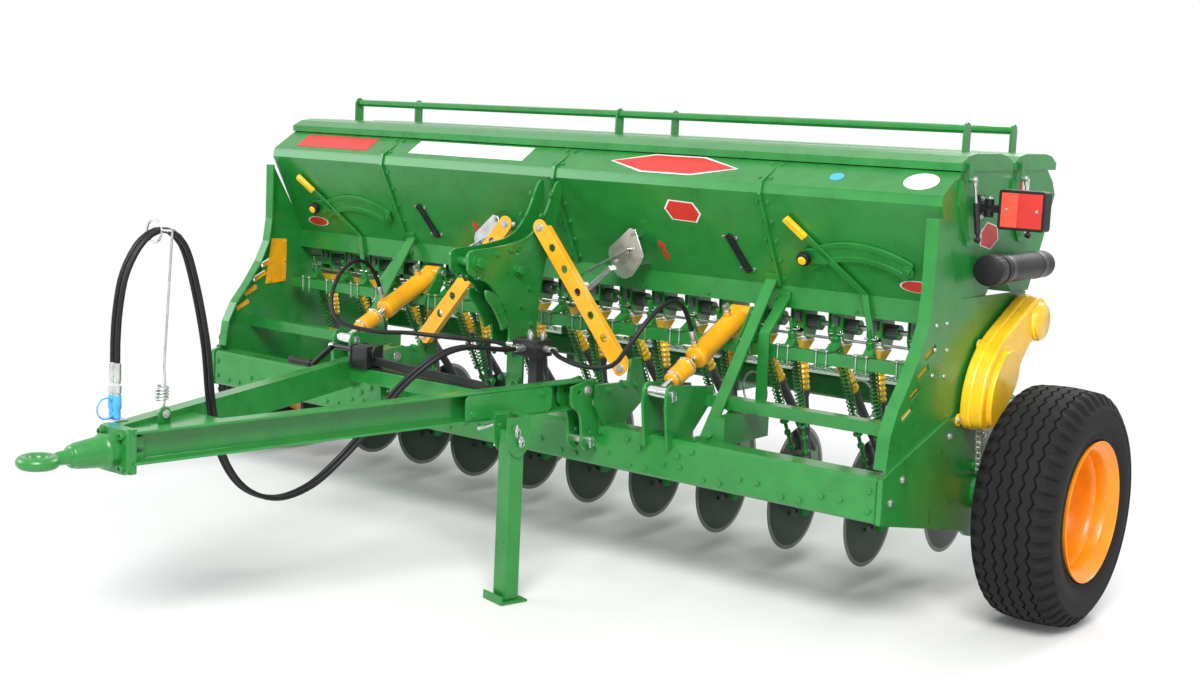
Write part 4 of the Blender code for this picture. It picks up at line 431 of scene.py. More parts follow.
FLOOR_NEAR = 1.6
FLOOR_FAR = 4.6
floor_shape = bmesh.new()
bmesh.ops.create_grid(floor_shape, x_segments=2, y_segments=2, size=60)
floor_mesh = bpy.data.meshes.new("floor")
floor_shape.to_mesh(floor_mesh)
floor_shape.free()
floor = bpy.data.objects.new("floor", floor_mesh)
floor.location.z = -0.002
scene.collection.objects.link(floor)
pale = finish_of("pale_floor", (0.80, 0.80, 0.79), 0.85, grain=3.0, spread=0.015, bump=0.0)
floor_mesh.materials.append(pale)
tree = pale.node_tree
far = add(tree, "VectorMath", {0: add(tree, "TexCoord", {}).outputs["Object"]})
far.operation = "LENGTH"
fade = add(tree, "MapRange", {"From Min": FLOOR_NEAR, "From Max": FLOOR_FAR, "Value": far.outputs["Value"]})
fade.interpolation_type = "SMOOTHSTEP"
seen = add(tree, "LightPath", {}).outputs["Is Camera Ray"]
painted, white = tree.nodes["Principled BSDF"].outputs["BSDF"], add(tree, "Emission", {}).outputs["Emission"]
blend = add(
    tree, "MixShader", {"Fac": math(tree, "MULTIPLY", fade.outputs["Result"], seen), 1: painted, 2: white}
)
feed(tree.nodes["Material Output"], {"Surface": blend.outputs["Shader"]})


def lamp(name, place, aim, size, power, colour=(1, 1, 1)):
    light = bpy.data.lights.new(name, "AREA")
    light.shape = "RECTANGLE"
    light.size, light.size_y = size
    light.energy = power
    light.color = colour
    holder = bpy.data.objects.new(name, light)
    holder.location = place
    holder.rotation_euler = (Vector(aim) - Vector(place)).to_track_quat("-Z", "Y").to_euler()
    scene.collection.objects.link(holder)


lamp("key", (4.5, -6.0, 7.5), (0, 0, 0.7), (5.0, 4.0), 1150, (1.0, 0.985, 0.96))
lamp("fill", (-6.5, -5.0, 4.0), (0, 0, 0.7), (5.0, 3.5), 300, (0.94, 0.97, 1.0))
lamp("rim_light", (1.0, 7.0, 6.0), (0, 0, 1.0), (6.0, 3.0), 420)
print("studio ready:", len(bpy.data.lights), "lamps")

# %% [markdown]
# ## Hydraulic hoses
# Each hose is two wire-braided layers under black rubber, so it bends no tighter than about three of its
# own diameters and springs into even curves. The two supply hoses park on the drawbar, climb over a ring on a
# sprung rod, drop into one long loop and come back up over the drawbar to the valve block. Their far ends
# go into the machine, so nothing is stored out of sight.

# %% Hose routes
HOSE_RADIUS = 0.008
HOSE_SPACING = 0.022
VALVE_LOW = Vector((0.110, -0.030, 0.715))
VALVE_HIGH = Vector((0.220, 0.060, 0.775))
COUPLER = Vector((-0.100, -1.534, 0.790))
CYLINDER_X = 0.725
ROD_EYE = Vector((-0.010, 0.668))
LEVER_PIN = Vector((0.468, 0.895))
BARREL_RADIUS = 0.038
PORT_HEIGHT = 0.016
PORT_SHARES = (0.44, 0.84)


def supply_route(way):
    x = COUPLER.x + way * HOSE_SPACING / 2
    port_x = (VALVE_LOW.x + VALVE_HIGH.x) / 2 + (way - 1) * HOSE_SPACING / 2
    return [
        (x, COUPLER.y, COUPLER.z + GAP),
        (x, -1.534, 0.860),
        (x + 0.006, -1.531, 0.960),
        (x + 0.012, -1.512, 1.065),
        (x + 0.018, -1.458, 1.152),
        (x + 0.020, -1.384, 1.180),
        (x + 0.020, -1.316, 1.135),
        (x + 0.020, -1.268, 1.010),
        (x + 0.020, -1.225, 0.830),
        (x + 0.012, -1.195, 0.650),
        (x + 0.002, -1.145, 0.490),
        (x, -1.055, 0.370),
        (x, -0.920, 0.312),
        (x + 0.004, -0.775, 0.330),
        (x + 0.025, -0.655, 0.410),
        (x + 0.075, -0.570, 0.520),
        (x + 0.140, -0.505, 0.645),
        (x + 0.195, -0.410, 0.735),
        (x + 0.222, -0.290, 0.765),
        (port_x, -0.130, 0.747),
        (port_x, VALVE_LOW.y - GAP, 0.745),
    ]


def cylinder_port(side, share):
    """The middle of a port's outer face, and the way it faces."""
    eye = Vector((side * CYLINDER_X, *ROD_EYE))
    pin = Vector((side * CYLINDER_X, *LEVER_PIN))
    line = (pin - eye).normalized()
    up = Vector((0, -line.z, line.y))
    return eye.lerp(pin, share) + up * (BARREL_RADIUS + PORT_HEIGHT), up


def cylinder_route(side):
    """From the valve block along the beam, up beside the cylinder and over into its port."""
    port, up = cylinder_port(side, PORT_SHARES[0])
    x = side * CYLINDER_X
    if side > 0:
        start = [(VALVE_HIGH.x + GAP, 0.015, 0.745), (0.250, 0.015, 0.745)]
    else:
        start = [(VALVE_LOW.x - GAP, 0.005, 0.745), (0.075, 0.005, 0.745)]
        start += [(-0.020, -0.012, 0.745), (-0.150, -0.060, 0.745)]
    return start + [
        (side * 0.350, -0.058, 0.737),
        (side * 0.490, -0.118, 0.733),
        (x - side * 0.095, -0.150, 0.757),
        (x - side * 0.040, -0.135, 0.830),
        (x - side * 0.012, -0.070, 0.915),
        (x, 0.020, 0.962),
        (x, 0.098, 0.942),
        tuple(port + up * 0.062),
        tuple(port + up * GAP),
    ]


def smooth_line(points, spacing):
    """One smooth line through the route's points, straight over its first and its last stretch."""
    knots = [Vector(p) + SHIFT for p in points]
    route = [knots[0]]
    for p0, p1, p2, p3 in zip(knots, knots[1:], knots[2:], knots[3:]):
        steps = max(2, int((p2 - p1).length / spacing))
        for i in range(steps):
            t = i / steps
            route.append(0.5 * (2 * p1 + (p2 - p0) * t + (2 * p0 - 5 * p1 + 4 * p2 - p3) * t * t
                                + (3 * p1 - p0 - 3 * p2 + p3) * t * t * t))
    return route + knots[-2:]


def hose(name, points, node):
    route = smooth_line(points, HOSE_RADIUS * 3)
    curve = bpy.data.curves.new(name, "CURVE")
    curve.dimensions = "3D"
    curve.bevel_depth = HOSE_RADIUS
    curve.bevel_resolution = 5
    curve.use_fill_caps = True
    spline = curve.splines.new("POLY")
    spline.points.add(len(route) - 1)
    for point, place in zip(spline.points, route):
        point.co = (*place, 1)
    curve.materials.append(hose_rubber)
    made = bpy.data.objects.new(name, curve)
    scene.collection.objects.link(made)
    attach(made, "frame")
    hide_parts(node)
    length = sum((b - a).length for a, b in zip(route, route[1:]))
    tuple(route[0])
    print(name, "is", round(length, 2), "m long")
    return made


for number, way in ((1, -1), (2, 1)):
    hose(f"supply_hose_{number}", supply_route(way), f"hose_{number}")
for side, hand in HANDS:
    hose(f"cylinder_hose_{hand}", cylinder_route(side), f"hose_{hand}")

# %% [markdown]
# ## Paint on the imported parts
# The folded and welded parts already have their true shape, so they keep their own meshes: the hopper and
# its lids, the beams, the side plates and the leg. All of them are green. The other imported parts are
# replaced by the pieces below, so their finish never shows.

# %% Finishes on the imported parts
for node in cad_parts.values():
    for place in node.material_slots:
        place.material = green
print(len(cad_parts), "packed parts painted")

# %% [markdown]
# ## Tyres
# An implement tyre has wavy ribs that roll straight behind a tractor, and blocks on its shoulders that
# clean themselves. The section is turned first, with its five grooves already in it. Then the crown is
# waved from side to side as it goes round, and every other stretch of the shoulder is pressed in.

# %% Tyres
WHEEL_RADIUS = 0.380
WHEEL_Y = 0.686
TYRE_WIDTH = 0.264
WHEEL_MIDDLE = 1.917 - TYRE_WIDTH / 2
WAVES = 46
STEPS_PER_WAVE = 6
TREAD_HALF = 0.088


def tyre_section():
    """(radius, run) points: inner side wall, crown with its grooves, outer side wall."""
    wall = [
        (0.197, -0.103), (0.2215, -0.112), (0.232, -0.121), (0.240, -0.1215), (0.243, -0.119),
        (0.262, -0.126), (0.285, -0.130), (0.300, -0.131), (0.318, -0.1295), (0.322, -0.1315),
        (0.330, -0.1305), (0.338, -0.126), (0.350, -0.119), (0.362, -0.110), (0.3705, -0.099),
        (0.3735, -TREAD_HALF),
    ]
    crown = []
    grooves = 5
    for i in range(grooves):
        middle = (i - (grooves - 1) / 2) * TREAD_HALF * 2 / grooves
        fall = 0.0065 * (middle / TREAD_HALF) ** 2
        top = WHEEL_RADIUS - 0.0006 - fall
        crown += [(top, middle - 0.0042), (top - 0.010, middle - 0.0020), (top - 0.010, middle + 0.0020),
                  (top, middle + 0.0042)]
    return wall + crown + [(radius, -run) for radius, run in wall[::-1]]


def tyre(side, hand):
    shape = bmesh.new()
    section = tyre_section()
    steps = WAVES * STEPS_PER_WAVE
    made = lathe(shape, section, (0, 0, 0), "X", steps)
    for vert in made:
        around = atan2(vert.co.y, vert.co.z)
        radius = hypot(vert.co.y, vert.co.z)
        turn = (around / tau * WAVES) % 1
        swing = abs(turn * 2 - 1) * 2 - 1
        if abs(vert.co.x) <= TREAD_HALF * 0.99:
            vert.co.x += swing * 0.0058
        elif radius > 0.3355:
            vert.co.x += swing * 0.0050 * max(0, 1 - abs(abs(vert.co.x) - TREAD_HALF) / 0.020)
            if abs(turn - 0.5) < 0.18:
                press = 0.0085 if radius > 0.345 else 0.0045
                depth = min(1, (abs(vert.co.x) - TREAD_HALF) / 0.02)
                vert.co.x -= press * (1 if vert.co.x > 0 else -1) * depth
                vert.co.y *= 1 - press / radius * 0.8
                vert.co.z *= 1 - press / radius * 0.8
    bmesh.ops.translate(shape, verts=made, vec=(side * WHEEL_MIDDLE, WHEEL_Y, WHEEL_RADIUS))
    return piece(f"tread_tyre_{hand}", shape, tyre_rubber, [f"tyre_{hand}"], f"wheel_{hand}", angle=24)


for side, hand in HANDS:
    print(tyre(side, hand).name, "with", WAVES, "waves")

# %% [markdown]
# ## Rims
# The rim is rolled from one strip: a lip, a seat for the tyre's bead and a well in between. A pressed
# centre is welded in near the machine's side, so that the wheel's face lies deep inside the dish.

# %% Rims
def rim(side, hand):
    shape, studs, valve = bmesh.new(), bmesh.new(), bmesh.new()

    def on_wheel(run, radius, turn):
        """A point of the wheel: how far out from its middle plane, and where round it."""
        across, up = radius * cos(turn), radius * sin(turn)
        return Vector((side * (WHEEL_MIDDLE + run), WHEEL_Y + across, WHEEL_RADIUS + up))

    section = [
        (0, -0.030), (0.052, -0.030), (0.060, -0.026), (0.066, -0.018), (0.100, -0.016), (0.108, -0.022),
        (0.150, -0.026), (0.166, -0.020), (0.174, -0.006), (0.1785, 0.020), (0.1805, 0.046), (0.184, 0.060),
        (0.189, 0.066), (0.1905, 0.092), (0.1935, 0.100), (0.205, 0.1085), (0.2135, 0.1165),
        (0.2195, 0.1245), (0.2225, 0.1300), (0.2255, 0.1285), (0.2250, 0.1245), (0.2215, 0.1170),
        (0.1960, 0.1030), (0.1945, 0.070), (0.186, 0.055), (0.184, -0.050), (0.1945, -0.070),
        (0.1960, -0.1030), (0.2215, -0.1170), (0.2250, -0.1245), (0.2225, -0.1300), (0.2130, -0.1180),
        (0.190, -0.100), (0.182, -0.060), (0.178, -0.030), (0.168, -0.032), (0.060, -0.040),
        (0.052, -0.075), (0.045, -0.075), (0.045, -0.214), (0, -0.214),
    ]
    lathe(shape, [(radius, run * side) for radius, run in section], on_wheel(0, 0, 0), "X", 96)
    out = Vector((side, 0, 0))
    for i in range(5):
        spot = on_wheel(-0.0175, 0.080, tau * (i + 0.25) / 5)
        bolt(studs, spot, out, 0.013)
        bar(studs, spot, spot + out * 0.020, 0.0065, 10)
    cap = [(0, 0.040), (0.026, 0.040), (0.032, 0.034), (0.034, 0), (0, 0)]
    lathe(studs, [(radius, run * side) for radius, run in cap], on_wheel(-0.030, 0, 0), "X", 32)
    turn = radians(180 - 62)
    low, outer = on_wheel(0.020, 0.155, turn), Vector((0, cos(turn), sin(turn)))
    bar(valve, low + outer * 0.022, low + out * 0.032 - outer * 0.010, 0.0042, 12)
    bar(valve, low + out * 0.030 - outer * 0.009, low + out * 0.046 - outer * 0.014, 0.0055, 10)
    body = f"wheel_{hand}"
    made = piece(f"deep_rim_{hand}", shape, rim_paint, [f"rim_{hand}"], body, angle=30)
    piece(f"hub_{hand}", studs, zinc, body=body, edge=0.0008)
    piece(f"tyre_valve_{hand}", valve, black_plastic, body=body)
    return made


for side, hand in HANDS:
    print(rim(side, hand).name)

# %% [markdown]
# ## Disc openers
# Each opener is one flat steel disc, dished very slightly and ground sharp round its rim. It is painted,
# and the soil polishes it, so a fine turned grain and a bright worn edge show. A cast hub with a grease
# cap covers its bearing.

# %% Discs
DISC_RADIUS = 0.175
WORN_RADIUS = 0.161
HUBS = (Vector((0.563, 0.253)), Vector((0.850, 0.279)))
disc_steel = finish_of("disc_enamel_worn", (0.004, 0.026, 0.008), 0.42, grain=9.0, spread=0.30)
bright_edge = finish_of("disc_edge", (0.20, 0.21, 0.20), 0.32, metallic=0.8, spread=0.2)


def opener_disc(name, x, y, z):
    shape = bmesh.new()
    blade = [
        (0.033, 0.0105), (0.0375, 0.0075), (0.044, 0.0040), (0.060, 0.0028), (0.110, 0.0022), (0.160, 0.0020),
        (DISC_RADIUS - 0.0006, 0.0004),
    ]
    section = [(0, 0.0135), (0.018, 0.0135), (0.024, 0.0115), *blade]
    section += [(radius, -run) for radius, run in blade[::-1]] + [(0, -0.0110)]
    lathe(shape, section, (x, y, z), "X", 72)
    for i in range(6):
        turn = tau * i / 6
        bolt(shape, (x + 0.0032, y + 0.052 * cos(turn), z + 0.052 * sin(turn)), (1, 0, 0), 0.0062)
    made = piece(f"blade_{name}", shape, disc_steel, [name], name, "disc_paint", angle=26)
    made.data.materials.append(bright_edge)
    for face in made.data.polygons:
        middle = face.center - Vector((x, y, z)) - SHIFT
        if hypot(middle.y, middle.z) > WORN_RADIUS:
            face.material_index = 1
    return made


for row, (row_name, hub) in enumerate(zip(("front", "rear"), HUBS)):
    for number, x in enumerate(opener_xs(row), 1):
        opener_disc(f"disc_{row_name}_{number:02}", x, hub.x, hub.y)
print("discs:", 2 * ROW_COUNT)

# %% [markdown]
# ## Coulter arms, springs and boots
# A pressed arm trails each disc from the pivot bar, and a long compression spring on a rod above it sets
# how hard the disc cuts. The rod slides through a cast guide that is clamped on the square lift shaft, and
# its foot is pinned to the arm. Behind the hub a boot of folded plate drops the seed into the cut.

# %% Opener units
PIVOT = Vector((0.142, 0.430))
SHAFT = Vector((0.400, 0.790))
ROD_TOP = (Vector((0.441, 0.835)), Vector((0.480, 0.835)))
ROD_FOOT = (Vector((0.612, 0.325)), Vector((0.792, 0.292)))
FUNNEL_Y = 0.560
PARTS = ("zinc", "green", "dark", "yellow", "grey")
openers = {part: bmesh.new() for part in PARTS}
COIL_SHARE = 0.615
CLAMP = 0.0255


def opener_unit(row, unit):
    """One arm with its hub, boot, rod, spring, guide and clamp, built at x = 0."""
    hub, top, foot = HUBS[row], ROD_TOP[row], ROD_FOOT[row]
    line = (foot - top).normalized()
    ahead = Vector((0, *line))
    run = (hub - PIVOT).normalized()
    side = Vector((-run.y, run.x))
    near = ((0.022, 0.004), (0.008, -0.021), (-0.008, -0.021), (-0.022, 0.004))
    rear = ((-0.018, -0.10), (-0.028, -0.01), (-0.014, 0.026), (0.014, 0.026), (0.028, -0.01), (0.018, -0.10))
    cheek = [end + side * r + run * q for end, ends in ((PIVOT, near), (hub, rear)) for r, q in ends]
    for face in (-0.0045, 0.0045):
        side_plate(unit["dark"], cheek, (face - 0.0015, face + 0.0015))
    cross_bar(unit["zinc"], (0, *PIVOT), 0.014, 0.010, 6)
    bar(unit["dark"], (0.0145 - ARM_SHIFT, *hub), (0.007, *hub), 0.024, 20)
    bolt(unit["zinc"], (0.007, *hub), (1, 0, 0), 0.013)
    boot = (
        (0.020, -0.055), (-0.010, 0.086), (0.052, 0.100), (0.060, 0.094), (0.070, -0.044), (0.040, -0.056)
    )
    side_plate(unit["dark"], [(hub.x + u, hub.y + v) for u, v in boot], (-0.0098, 0.0098))
    block(unit["dark"], (-0.0085, 0.0085), (foot.x - 0.016, foot.x + 0.012), (foot.y - 0.012, foot.y + 0.014))

    def on_rod(distance):
        return Vector((0, *(top + line * distance)))

    coil_start, coil_end = on_rod(0.026), Vector((0, *top.lerp(foot, COIL_SHARE)))
    bar(unit["dark"], on_rod(-0.070), Vector((0, *foot)), 0.0065, 12)
    spring(unit["green"], coil_start, coil_end, 0.0145, 0.0030, 21)
    for spot in (coil_start, coil_end):
        bar(unit["green"], spot - ahead * 0.002, spot + ahead * 0.003, 0.0175, 20)
    bar(unit["green"], on_rod(-0.026), on_rod(0.022), 0.0150, 20)
    strip(unit["green"], (0, *SHAFT), (0, *top), 0.030, 0.014)
    for low in (-CLAMP, CLAMP - 0.005):
        across, deep = (-CLAMP, CLAMP), (SHAFT.x - CLAMP, SHAFT.x + CLAMP)
        block(unit["green"], across, deep, (SHAFT.y + low, SHAFT.y + low + 0.005))
    for way in (-1, 1):
        low = Vector((way * 0.019, SHAFT.x - 0.0225, SHAFT.y - CLAMP))
        bolt(unit["zinc"], low + Vector((0, 0, CLAMP * 2)), (0, 0, 1), 0.0062)
        bar(unit["zinc"], low - Vector((0, 0, 0.006)), low + Vector((0, 0, 0.055)), 0.0028, 8)
    tip = on_rod(-0.034)
    cross_bar(unit["zinc"], tip, 0.021, 0.0032, 8)
    wire_ring(unit["zinc"], tip + Vector((0.024, 0, 0.007)), 0.0075, 0.0014, "X", 14, 8)
    for share in (0.70, 0.80):
        spot = Vector((0, *top.lerp(foot, share)))
        bar(unit["dark"], spot - ahead * 0.006, spot + ahead * 0.006, 0.0120, 16)


for row in range(2):
    unit = {part: bmesh.new() for part in PARTS}
    opener_unit(row, unit)
    for part in PARTS:
        repeat(openers[part], unit[part], [(x + ARM_SHIFT, 0, 0) for x in opener_xs(row)])
print("opener units:", 2 * ROW_COUNT)

# %% [markdown]
# ## Seed drop
# Under the tank each row has a fluted roller in a cast housing. The grain falls through a yellow funnel
# into a bellows that can stretch as the arm rises, and a rubber boot guides it down behind the disc.

# %% Metering housings, funnels and bellows
FEED_LOW, FEED_HIGH = 0.820, 0.9445
FEED_Z = (FEED_LOW + FEED_HIGH) / 2
FLUTES = 12
LINE_HALF = 1.505
SHAFT_HALF = 1.470
PIVOT_HALF = 1.487
CHEEK = [(0.516, 0.862), (0.530, 0.832), (0.552, 0.821), (0.592, 0.821), (0.604, 0.850), (0.604, FEED_HIGH),
         (0.516, FEED_HIGH)]
FLUTE = ((0.0255, -0.26), (0.0255, 0.06), (0.0215, 0.14), (0.0215, 0.40))


def seed_unit(row, unit):
    """One housing with its window, roller, funnel, bellows and boot, built at x = 0."""
    hub = HUBS[row]
    for way in (-0.0255, 0.0255):
        side_plate(unit["green"], CHEEK, (way - 0.0025, way + 0.0025))
    for deep, high in (((0.590, 0.6045), (0.838, FEED_HIGH)), ((0.516, 0.519), (0.925, FEED_HIGH)),
                       ((0.516, 0.519), (0.862, 0.872))):
        block(unit["green"], (-0.024, 0.024), deep, high)
    block(unit["dark"], (-0.0225, 0.0225), (0.524, 0.589), (0.868, 0.936))
    block(unit["grey"], (-0.010, 0.010), (0.5155, 0.526), (0.885, 0.915))
    turns = [(radius, tau * (i + turn) / FLUTES) for i in range(FLUTES) for radius, turn in FLUTE]
    side_plate(unit["grey"], [(FUNNEL_Y + r * cos(a), FEED_Z + r * sin(a)) for r, a in turns], (0.030, 0.066))
    bar(unit["green"], (0.066, FUNNEL_Y, FEED_Z), (0.0725, FUNNEL_Y, FEED_Z), 0.0255, 24)
    funnel = unit["yellow"]
    narrow = Matrix.Diagonal((0.72, 1, 1, 1)) @ Matrix.Rotation(pi / 4, 4, "Z")
    bmesh.ops.create_cone(
        funnel, cap_ends=True, segments=4, radius1=0.0205, radius2=0.054, depth=0.0485,
        matrix=Matrix.Translation((0, FUNNEL_Y, 0.7943)) @ narrow,
    )
    start = Vector((0, FUNNEL_Y, 0.7690))
    end = Vector((ARM_SHIFT, hub.x + 0.035, hub.y + 0.090))
    split = start.lerp(end, 0.30)
    lay, length = line_up(start, split)
    folds = [(0.0185 + 0.005 * (i % 2), length * i / 14) for i in range(15)]
    lathe(funnel, [(0, 0), *folds, (0, length)], start, lay, 20)
    lay, length = line_up(split, end)
    sleeve = [(0, 0), (0.0215, 0), (0.022, 0.012), (0.017, 0.026), (0.0155, length), (0, length)]
    lathe(unit["grey"], sleeve, split, lay, 16)


for row in range(2):
    unit = {part: bmesh.new() for part in PARTS}
    seed_unit(row, unit)
    for part in PARTS:
        repeat(openers[part], unit[part], [(x, 0, 0) for x in opener_xs(row)])
block(openers["green"], (-SHAFT_HALF, SHAFT_HALF), (0.380, 0.420), (0.770, 0.810))
block(openers["dark"], (-PIVOT_HALF, PIVOT_HALF), (0.130, 0.154), (0.418, 0.442))
for middle in [side * CYLINDER_X + way for side, _ in HANDS for way in (-0.045, 0.045)]:
    lever = arc(SHAFT, 0.036, 130, 300, 10) + arc(LEVER_PIN, 0.026, -50, 130, 10)
    side_plate(openers["green"], lever, (middle - 0.005, middle + 0.005))
cross_bar(openers["zinc"], (0, FUNNEL_Y, FEED_Z), LINE_HALF, 0.009, 6)
cross_bar(openers["zinc"], (0, 0.535, 0.838), LINE_HALF, 0.005, 12)
print("funnels:", 2 * ROW_COUNT)
piece("opener_castings", openers["green"], green, ["metering_line", "rockshaft"], edge=0.0008, segments=1)
piece("opener_arms", openers["dark"], green, ["coulter_arms"], edge=0.0008, segments=1)
piece("opener_fixings", openers["zinc"], zinc)
piece("seed_funnels", openers["yellow"], yellow, angle=30)
piece("seed_boots", openers["grey"], grey_rubber, angle=30)

# %% [markdown]
# ## Plates with holes
# A laser cuts a plate's outline and its holes in one pass. bmesh has the same idea: triangle_fill closes
# the flat ring between an outline and its holes, and one extrusion gives it thickness. A curved edge is a
# few named corners with a smooth line drawn through them.


# %% Pierced plates and smooth outlines
def smoothed(points, closed=True, steps=5):
    """A smooth line through an outline's points."""
    knots = [Vector(p) for p in points]
    ends = (knots[-1:], knots[:2]) if closed else (knots[:1], knots[-1:])
    knots = [*ends[0], *knots, *ends[1]]
    made = []
    for p0, p1, p2, p3 in zip(knots, knots[1:], knots[2:], knots[3:]):
        for t in [step / steps for step in range(steps)]:
            square, cube = 2 * p0 - 5 * p1 + 4 * p2 - p3, 3 * p1 - p0 - 3 * p2 + p3
            made.append(tuple(0.5 * (2 * p1 + (p2 - p0) * t + square * t * t + cube * t * t * t)))
    return made if closed else made + [tuple(knots[-2])]


def pierced(shape, outline, holes, low, high, place):
    """A plate with holes through it. A hole is (u, v, radius) or an outline of its own."""
    flat = bmesh.new()
    edges = []
    for loop in [outline] + [
        arc(hole[:2], hole[2], 0, 345, 23) if len(hole) == 3 else hole for hole in holes
    ]:
        corners = [flat.verts.new((u, v, 0)) for u, v in loop]
        edges += [flat.edges.new(pair) for pair in zip(corners, corners[1:] + corners[:1])]
    bmesh.ops.triangle_fill(flat, use_beauty=True, use_dissolve=False, edges=edges)
    made = bmesh.ops.extrude_face_region(flat, geom=flat.faces[:])
    for thing in made["geom"]:
        if isinstance(thing, bmesh.types.BMVert):
            thing.co.z = 1
    for vert in flat.verts:
        u, v, far = vert.co
        vert.co = place(u, v, high if far else low)
    repeat(shape, flat, [(0, 0, 0)])


def lynch_pin(shape, spot, drop=(0, 0, -1), across=(1, 0, 0)):
    """A short pin with its sprung ring, hanging from a bigger pin's end."""
    spot, drop, across = Vector(spot), Vector(drop).normalized(), Vector(across).normalized()
    bar(shape, spot - drop * 0.014, spot + drop * 0.026, 0.0032, 10)
    wire_ring(shape, spot + drop * 0.010 + across * 0.004, 0.0125, 0.0016, facing(across), 24, 8)


# %% [markdown]
# ## Braces
# Two channels tie the headstock to the drawbar's brackets. A row of large holes down the web lets them be
# bolted at several lengths, and their top ends are rounded about the bolt.

# %% Braces
BRACE_TOP = Vector((0.080, 1.150))
BRACE_LOW = Vector((0.456, 0.700))
BRACE_HALF = 0.029
BRACE_HOLES = (0.155, 0.310, 0.475, 0.640, 0.800)


def brace(side, hand):
    run = (BRACE_LOW - BRACE_TOP).normalized()
    across = Vector((-run.y, run.x))
    length = (BRACE_LOW - BRACE_TOP).length

    def place(u, v, w):
        spot = BRACE_TOP + run * u + across * v
        return Vector((side * spot.x, w, spot.y))

    shape = bmesh.new()
    foot = length + 0.026
    outline = arc((0, 0), BRACE_HALF, 90, 270, 12) + [
        (foot - 0.012, -BRACE_HALF), (foot, -BRACE_HALF + 0.012), (foot, BRACE_HALF - 0.012),
        (foot - 0.012, BRACE_HALF)
    ]
    holes = [(length * share, 0.002, 0.0145) for share in BRACE_HOLES]
    pierced(shape, outline, holes, 0.132, 0.137, place)
    for way in (-1, 1):
        edge, inner = way * BRACE_HALF, way * (BRACE_HALF - 0.005)
        plate(
            shape, [(0.012, edge), (foot - 0.012, edge), (foot - 0.012, inner), (0.012, inner)], 0.1365,
            0.162, place
        )
    made = piece(f"braced_channel_{hand}", shape, amber, replaces=[f"brace_{hand}"], edge=0.0012)
    bolts = bmesh.new()
    for u in (0, length + 0.004):
        bolt(bolts, place(u, 0, 0.132), (0, -1, 0), 0.011)
    bar(bolts, place(0, 0, 0.137), (side * 0.046, 0.150, BRACE_TOP.y), 0.009, 12)
    piece(f"brace_bolts_{hand}", bolts, zinc, edge=0.0006)
    return made


for side, hand in HANDS:
    print(brace(side, hand).name, "with", len(BRACE_HOLES), "holes")

# %% [markdown]
# ## Hydraulic cylinders
# A cylinder is a drawn tube with a turned gland at one end and an eye at the other. Its rod is hard chrome
# and mirrors the ground. A long sleeve nut on the rod sets the stroke. Each of these is round, so one
# profile spun about the cylinder's line makes it.

# %% Cylinders
def cylinder(side, hand):
    x = side * CYLINDER_X
    eye, pin = Vector((x, *ROD_EYE)), Vector((x, *LEVER_PIN))
    lay, length = line_up(eye, pin)
    line = (pin - eye).normalized()
    start, end = length * 0.415, length * 0.94
    barrel = bmesh.new()
    lathe(barrel, [
        (0, start - 0.004), (0.026, start - 0.004), (0.033, start - 0.002), (0.0395, start + 0.003),
        (0.0395, start + 0.040), (0.0375, start + 0.043), (0.0375, end - 0.030), (0.0390, end - 0.026),
        (0.0390, end - 0.006), (0.030, end), (0, end),
    ], eye, lay, 56)
    sleeve = (length * 0.125, length * 0.325)
    lathe(barrel, [
        (0, sleeve[0]), (0.022, sleeve[0]), (0.028, sleeve[0] + 0.004), (0.028, sleeve[0] + 0.022),
        (0.032, sleeve[0] + 0.025), (0.032, sleeve[1] - 0.022), (0.034, sleeve[1] - 0.020),
        (0.034, sleeve[1] - 0.002), (0.031, sleeve[1]), (0, sleeve[1]),
    ], eye, lay, 48)
    bar(barrel, pin - line * 0.050, pin, 0.024, 24)
    drum(barrel, pin, -0.038, 0.038, 0.0255)
    for share in PORT_SHARES:
        port, up = cylinder_port(side, share)
        bar(barrel, port - up * 0.040, port - up * 0.004, 0.0135, 20)
    made = piece(f"cylinder_barrel_{hand}", barrel, amber, slot="yellow_paint", replaces=[f"cylinder_{hand}"],
                 edge=0.0008)
    rod = bmesh.new()
    drum(rod, eye, 0, length * 0.42, 0.0155, lay)
    drum(rod, eye, -0.0385, 0.0385, 0.021)
    piece(f"cylinder_rod_{hand}", rod, chrome, edge=0.0010)
    fittings = bmesh.new()
    port, up = cylinder_port(side, PORT_SHARES[0])
    bar(fittings, port - up * 0.006, port + up * 0.006, 0.0135, 6)
    ferrule = [(0, 0.004), (0.0102, 0.004), (0.0108, 0.010), (0.0108, 0.040), (0.0098, 0.044), (0, 0.044)]
    lathe(fittings, ferrule, port, facing(up), 20)
    port, up = cylinder_port(side, PORT_SHARES[1])
    bar(fittings, port - up * 0.006, port + up * 0.005, 0.0135, 6)
    bar(fittings, port, port + up * 0.022, 0.0090, 16)
    bar(fittings, port + up * 0.018 - line * 0.012, port + up * 0.018 + line * 0.014, 0.0085, 16)
    for share in (0.150, 0.300):
        spot = eye.lerp(pin, share)
        ring = 0.0290 if share < 0.2 else 0.0350
        drum(fittings, spot, -0.0035, 0.0035, ring, lay)
        cross_bar(fittings, spot + up * ring, 0.012, 0.0035, 10)
    for spot in (eye, pin):
        for way in (-1, 1):
            bar(
                fittings, spot + Vector((way * 0.0502, 0, 0)), spot + Vector((way * 0.0585, 0, 0)), 0.0150,
                24
            )
    lynch_pin(fittings, eye + Vector((0.0555, 0, 0)), (0, -0.3, -1))
    piece(f"cylinder_fittings_{hand}", fittings, zinc, edge=0.0006)
    return made


for side, hand in HANDS:
    print(cylinder(side, hand).name)

# %% [markdown]
# ## Shutter levers
# The driver sets the seed shutters by hand: a flat lever swings over a slotted guide on the hopper's
# front, and a plastic knob clamps it there. The grip is dipped in soft yellow plastic.

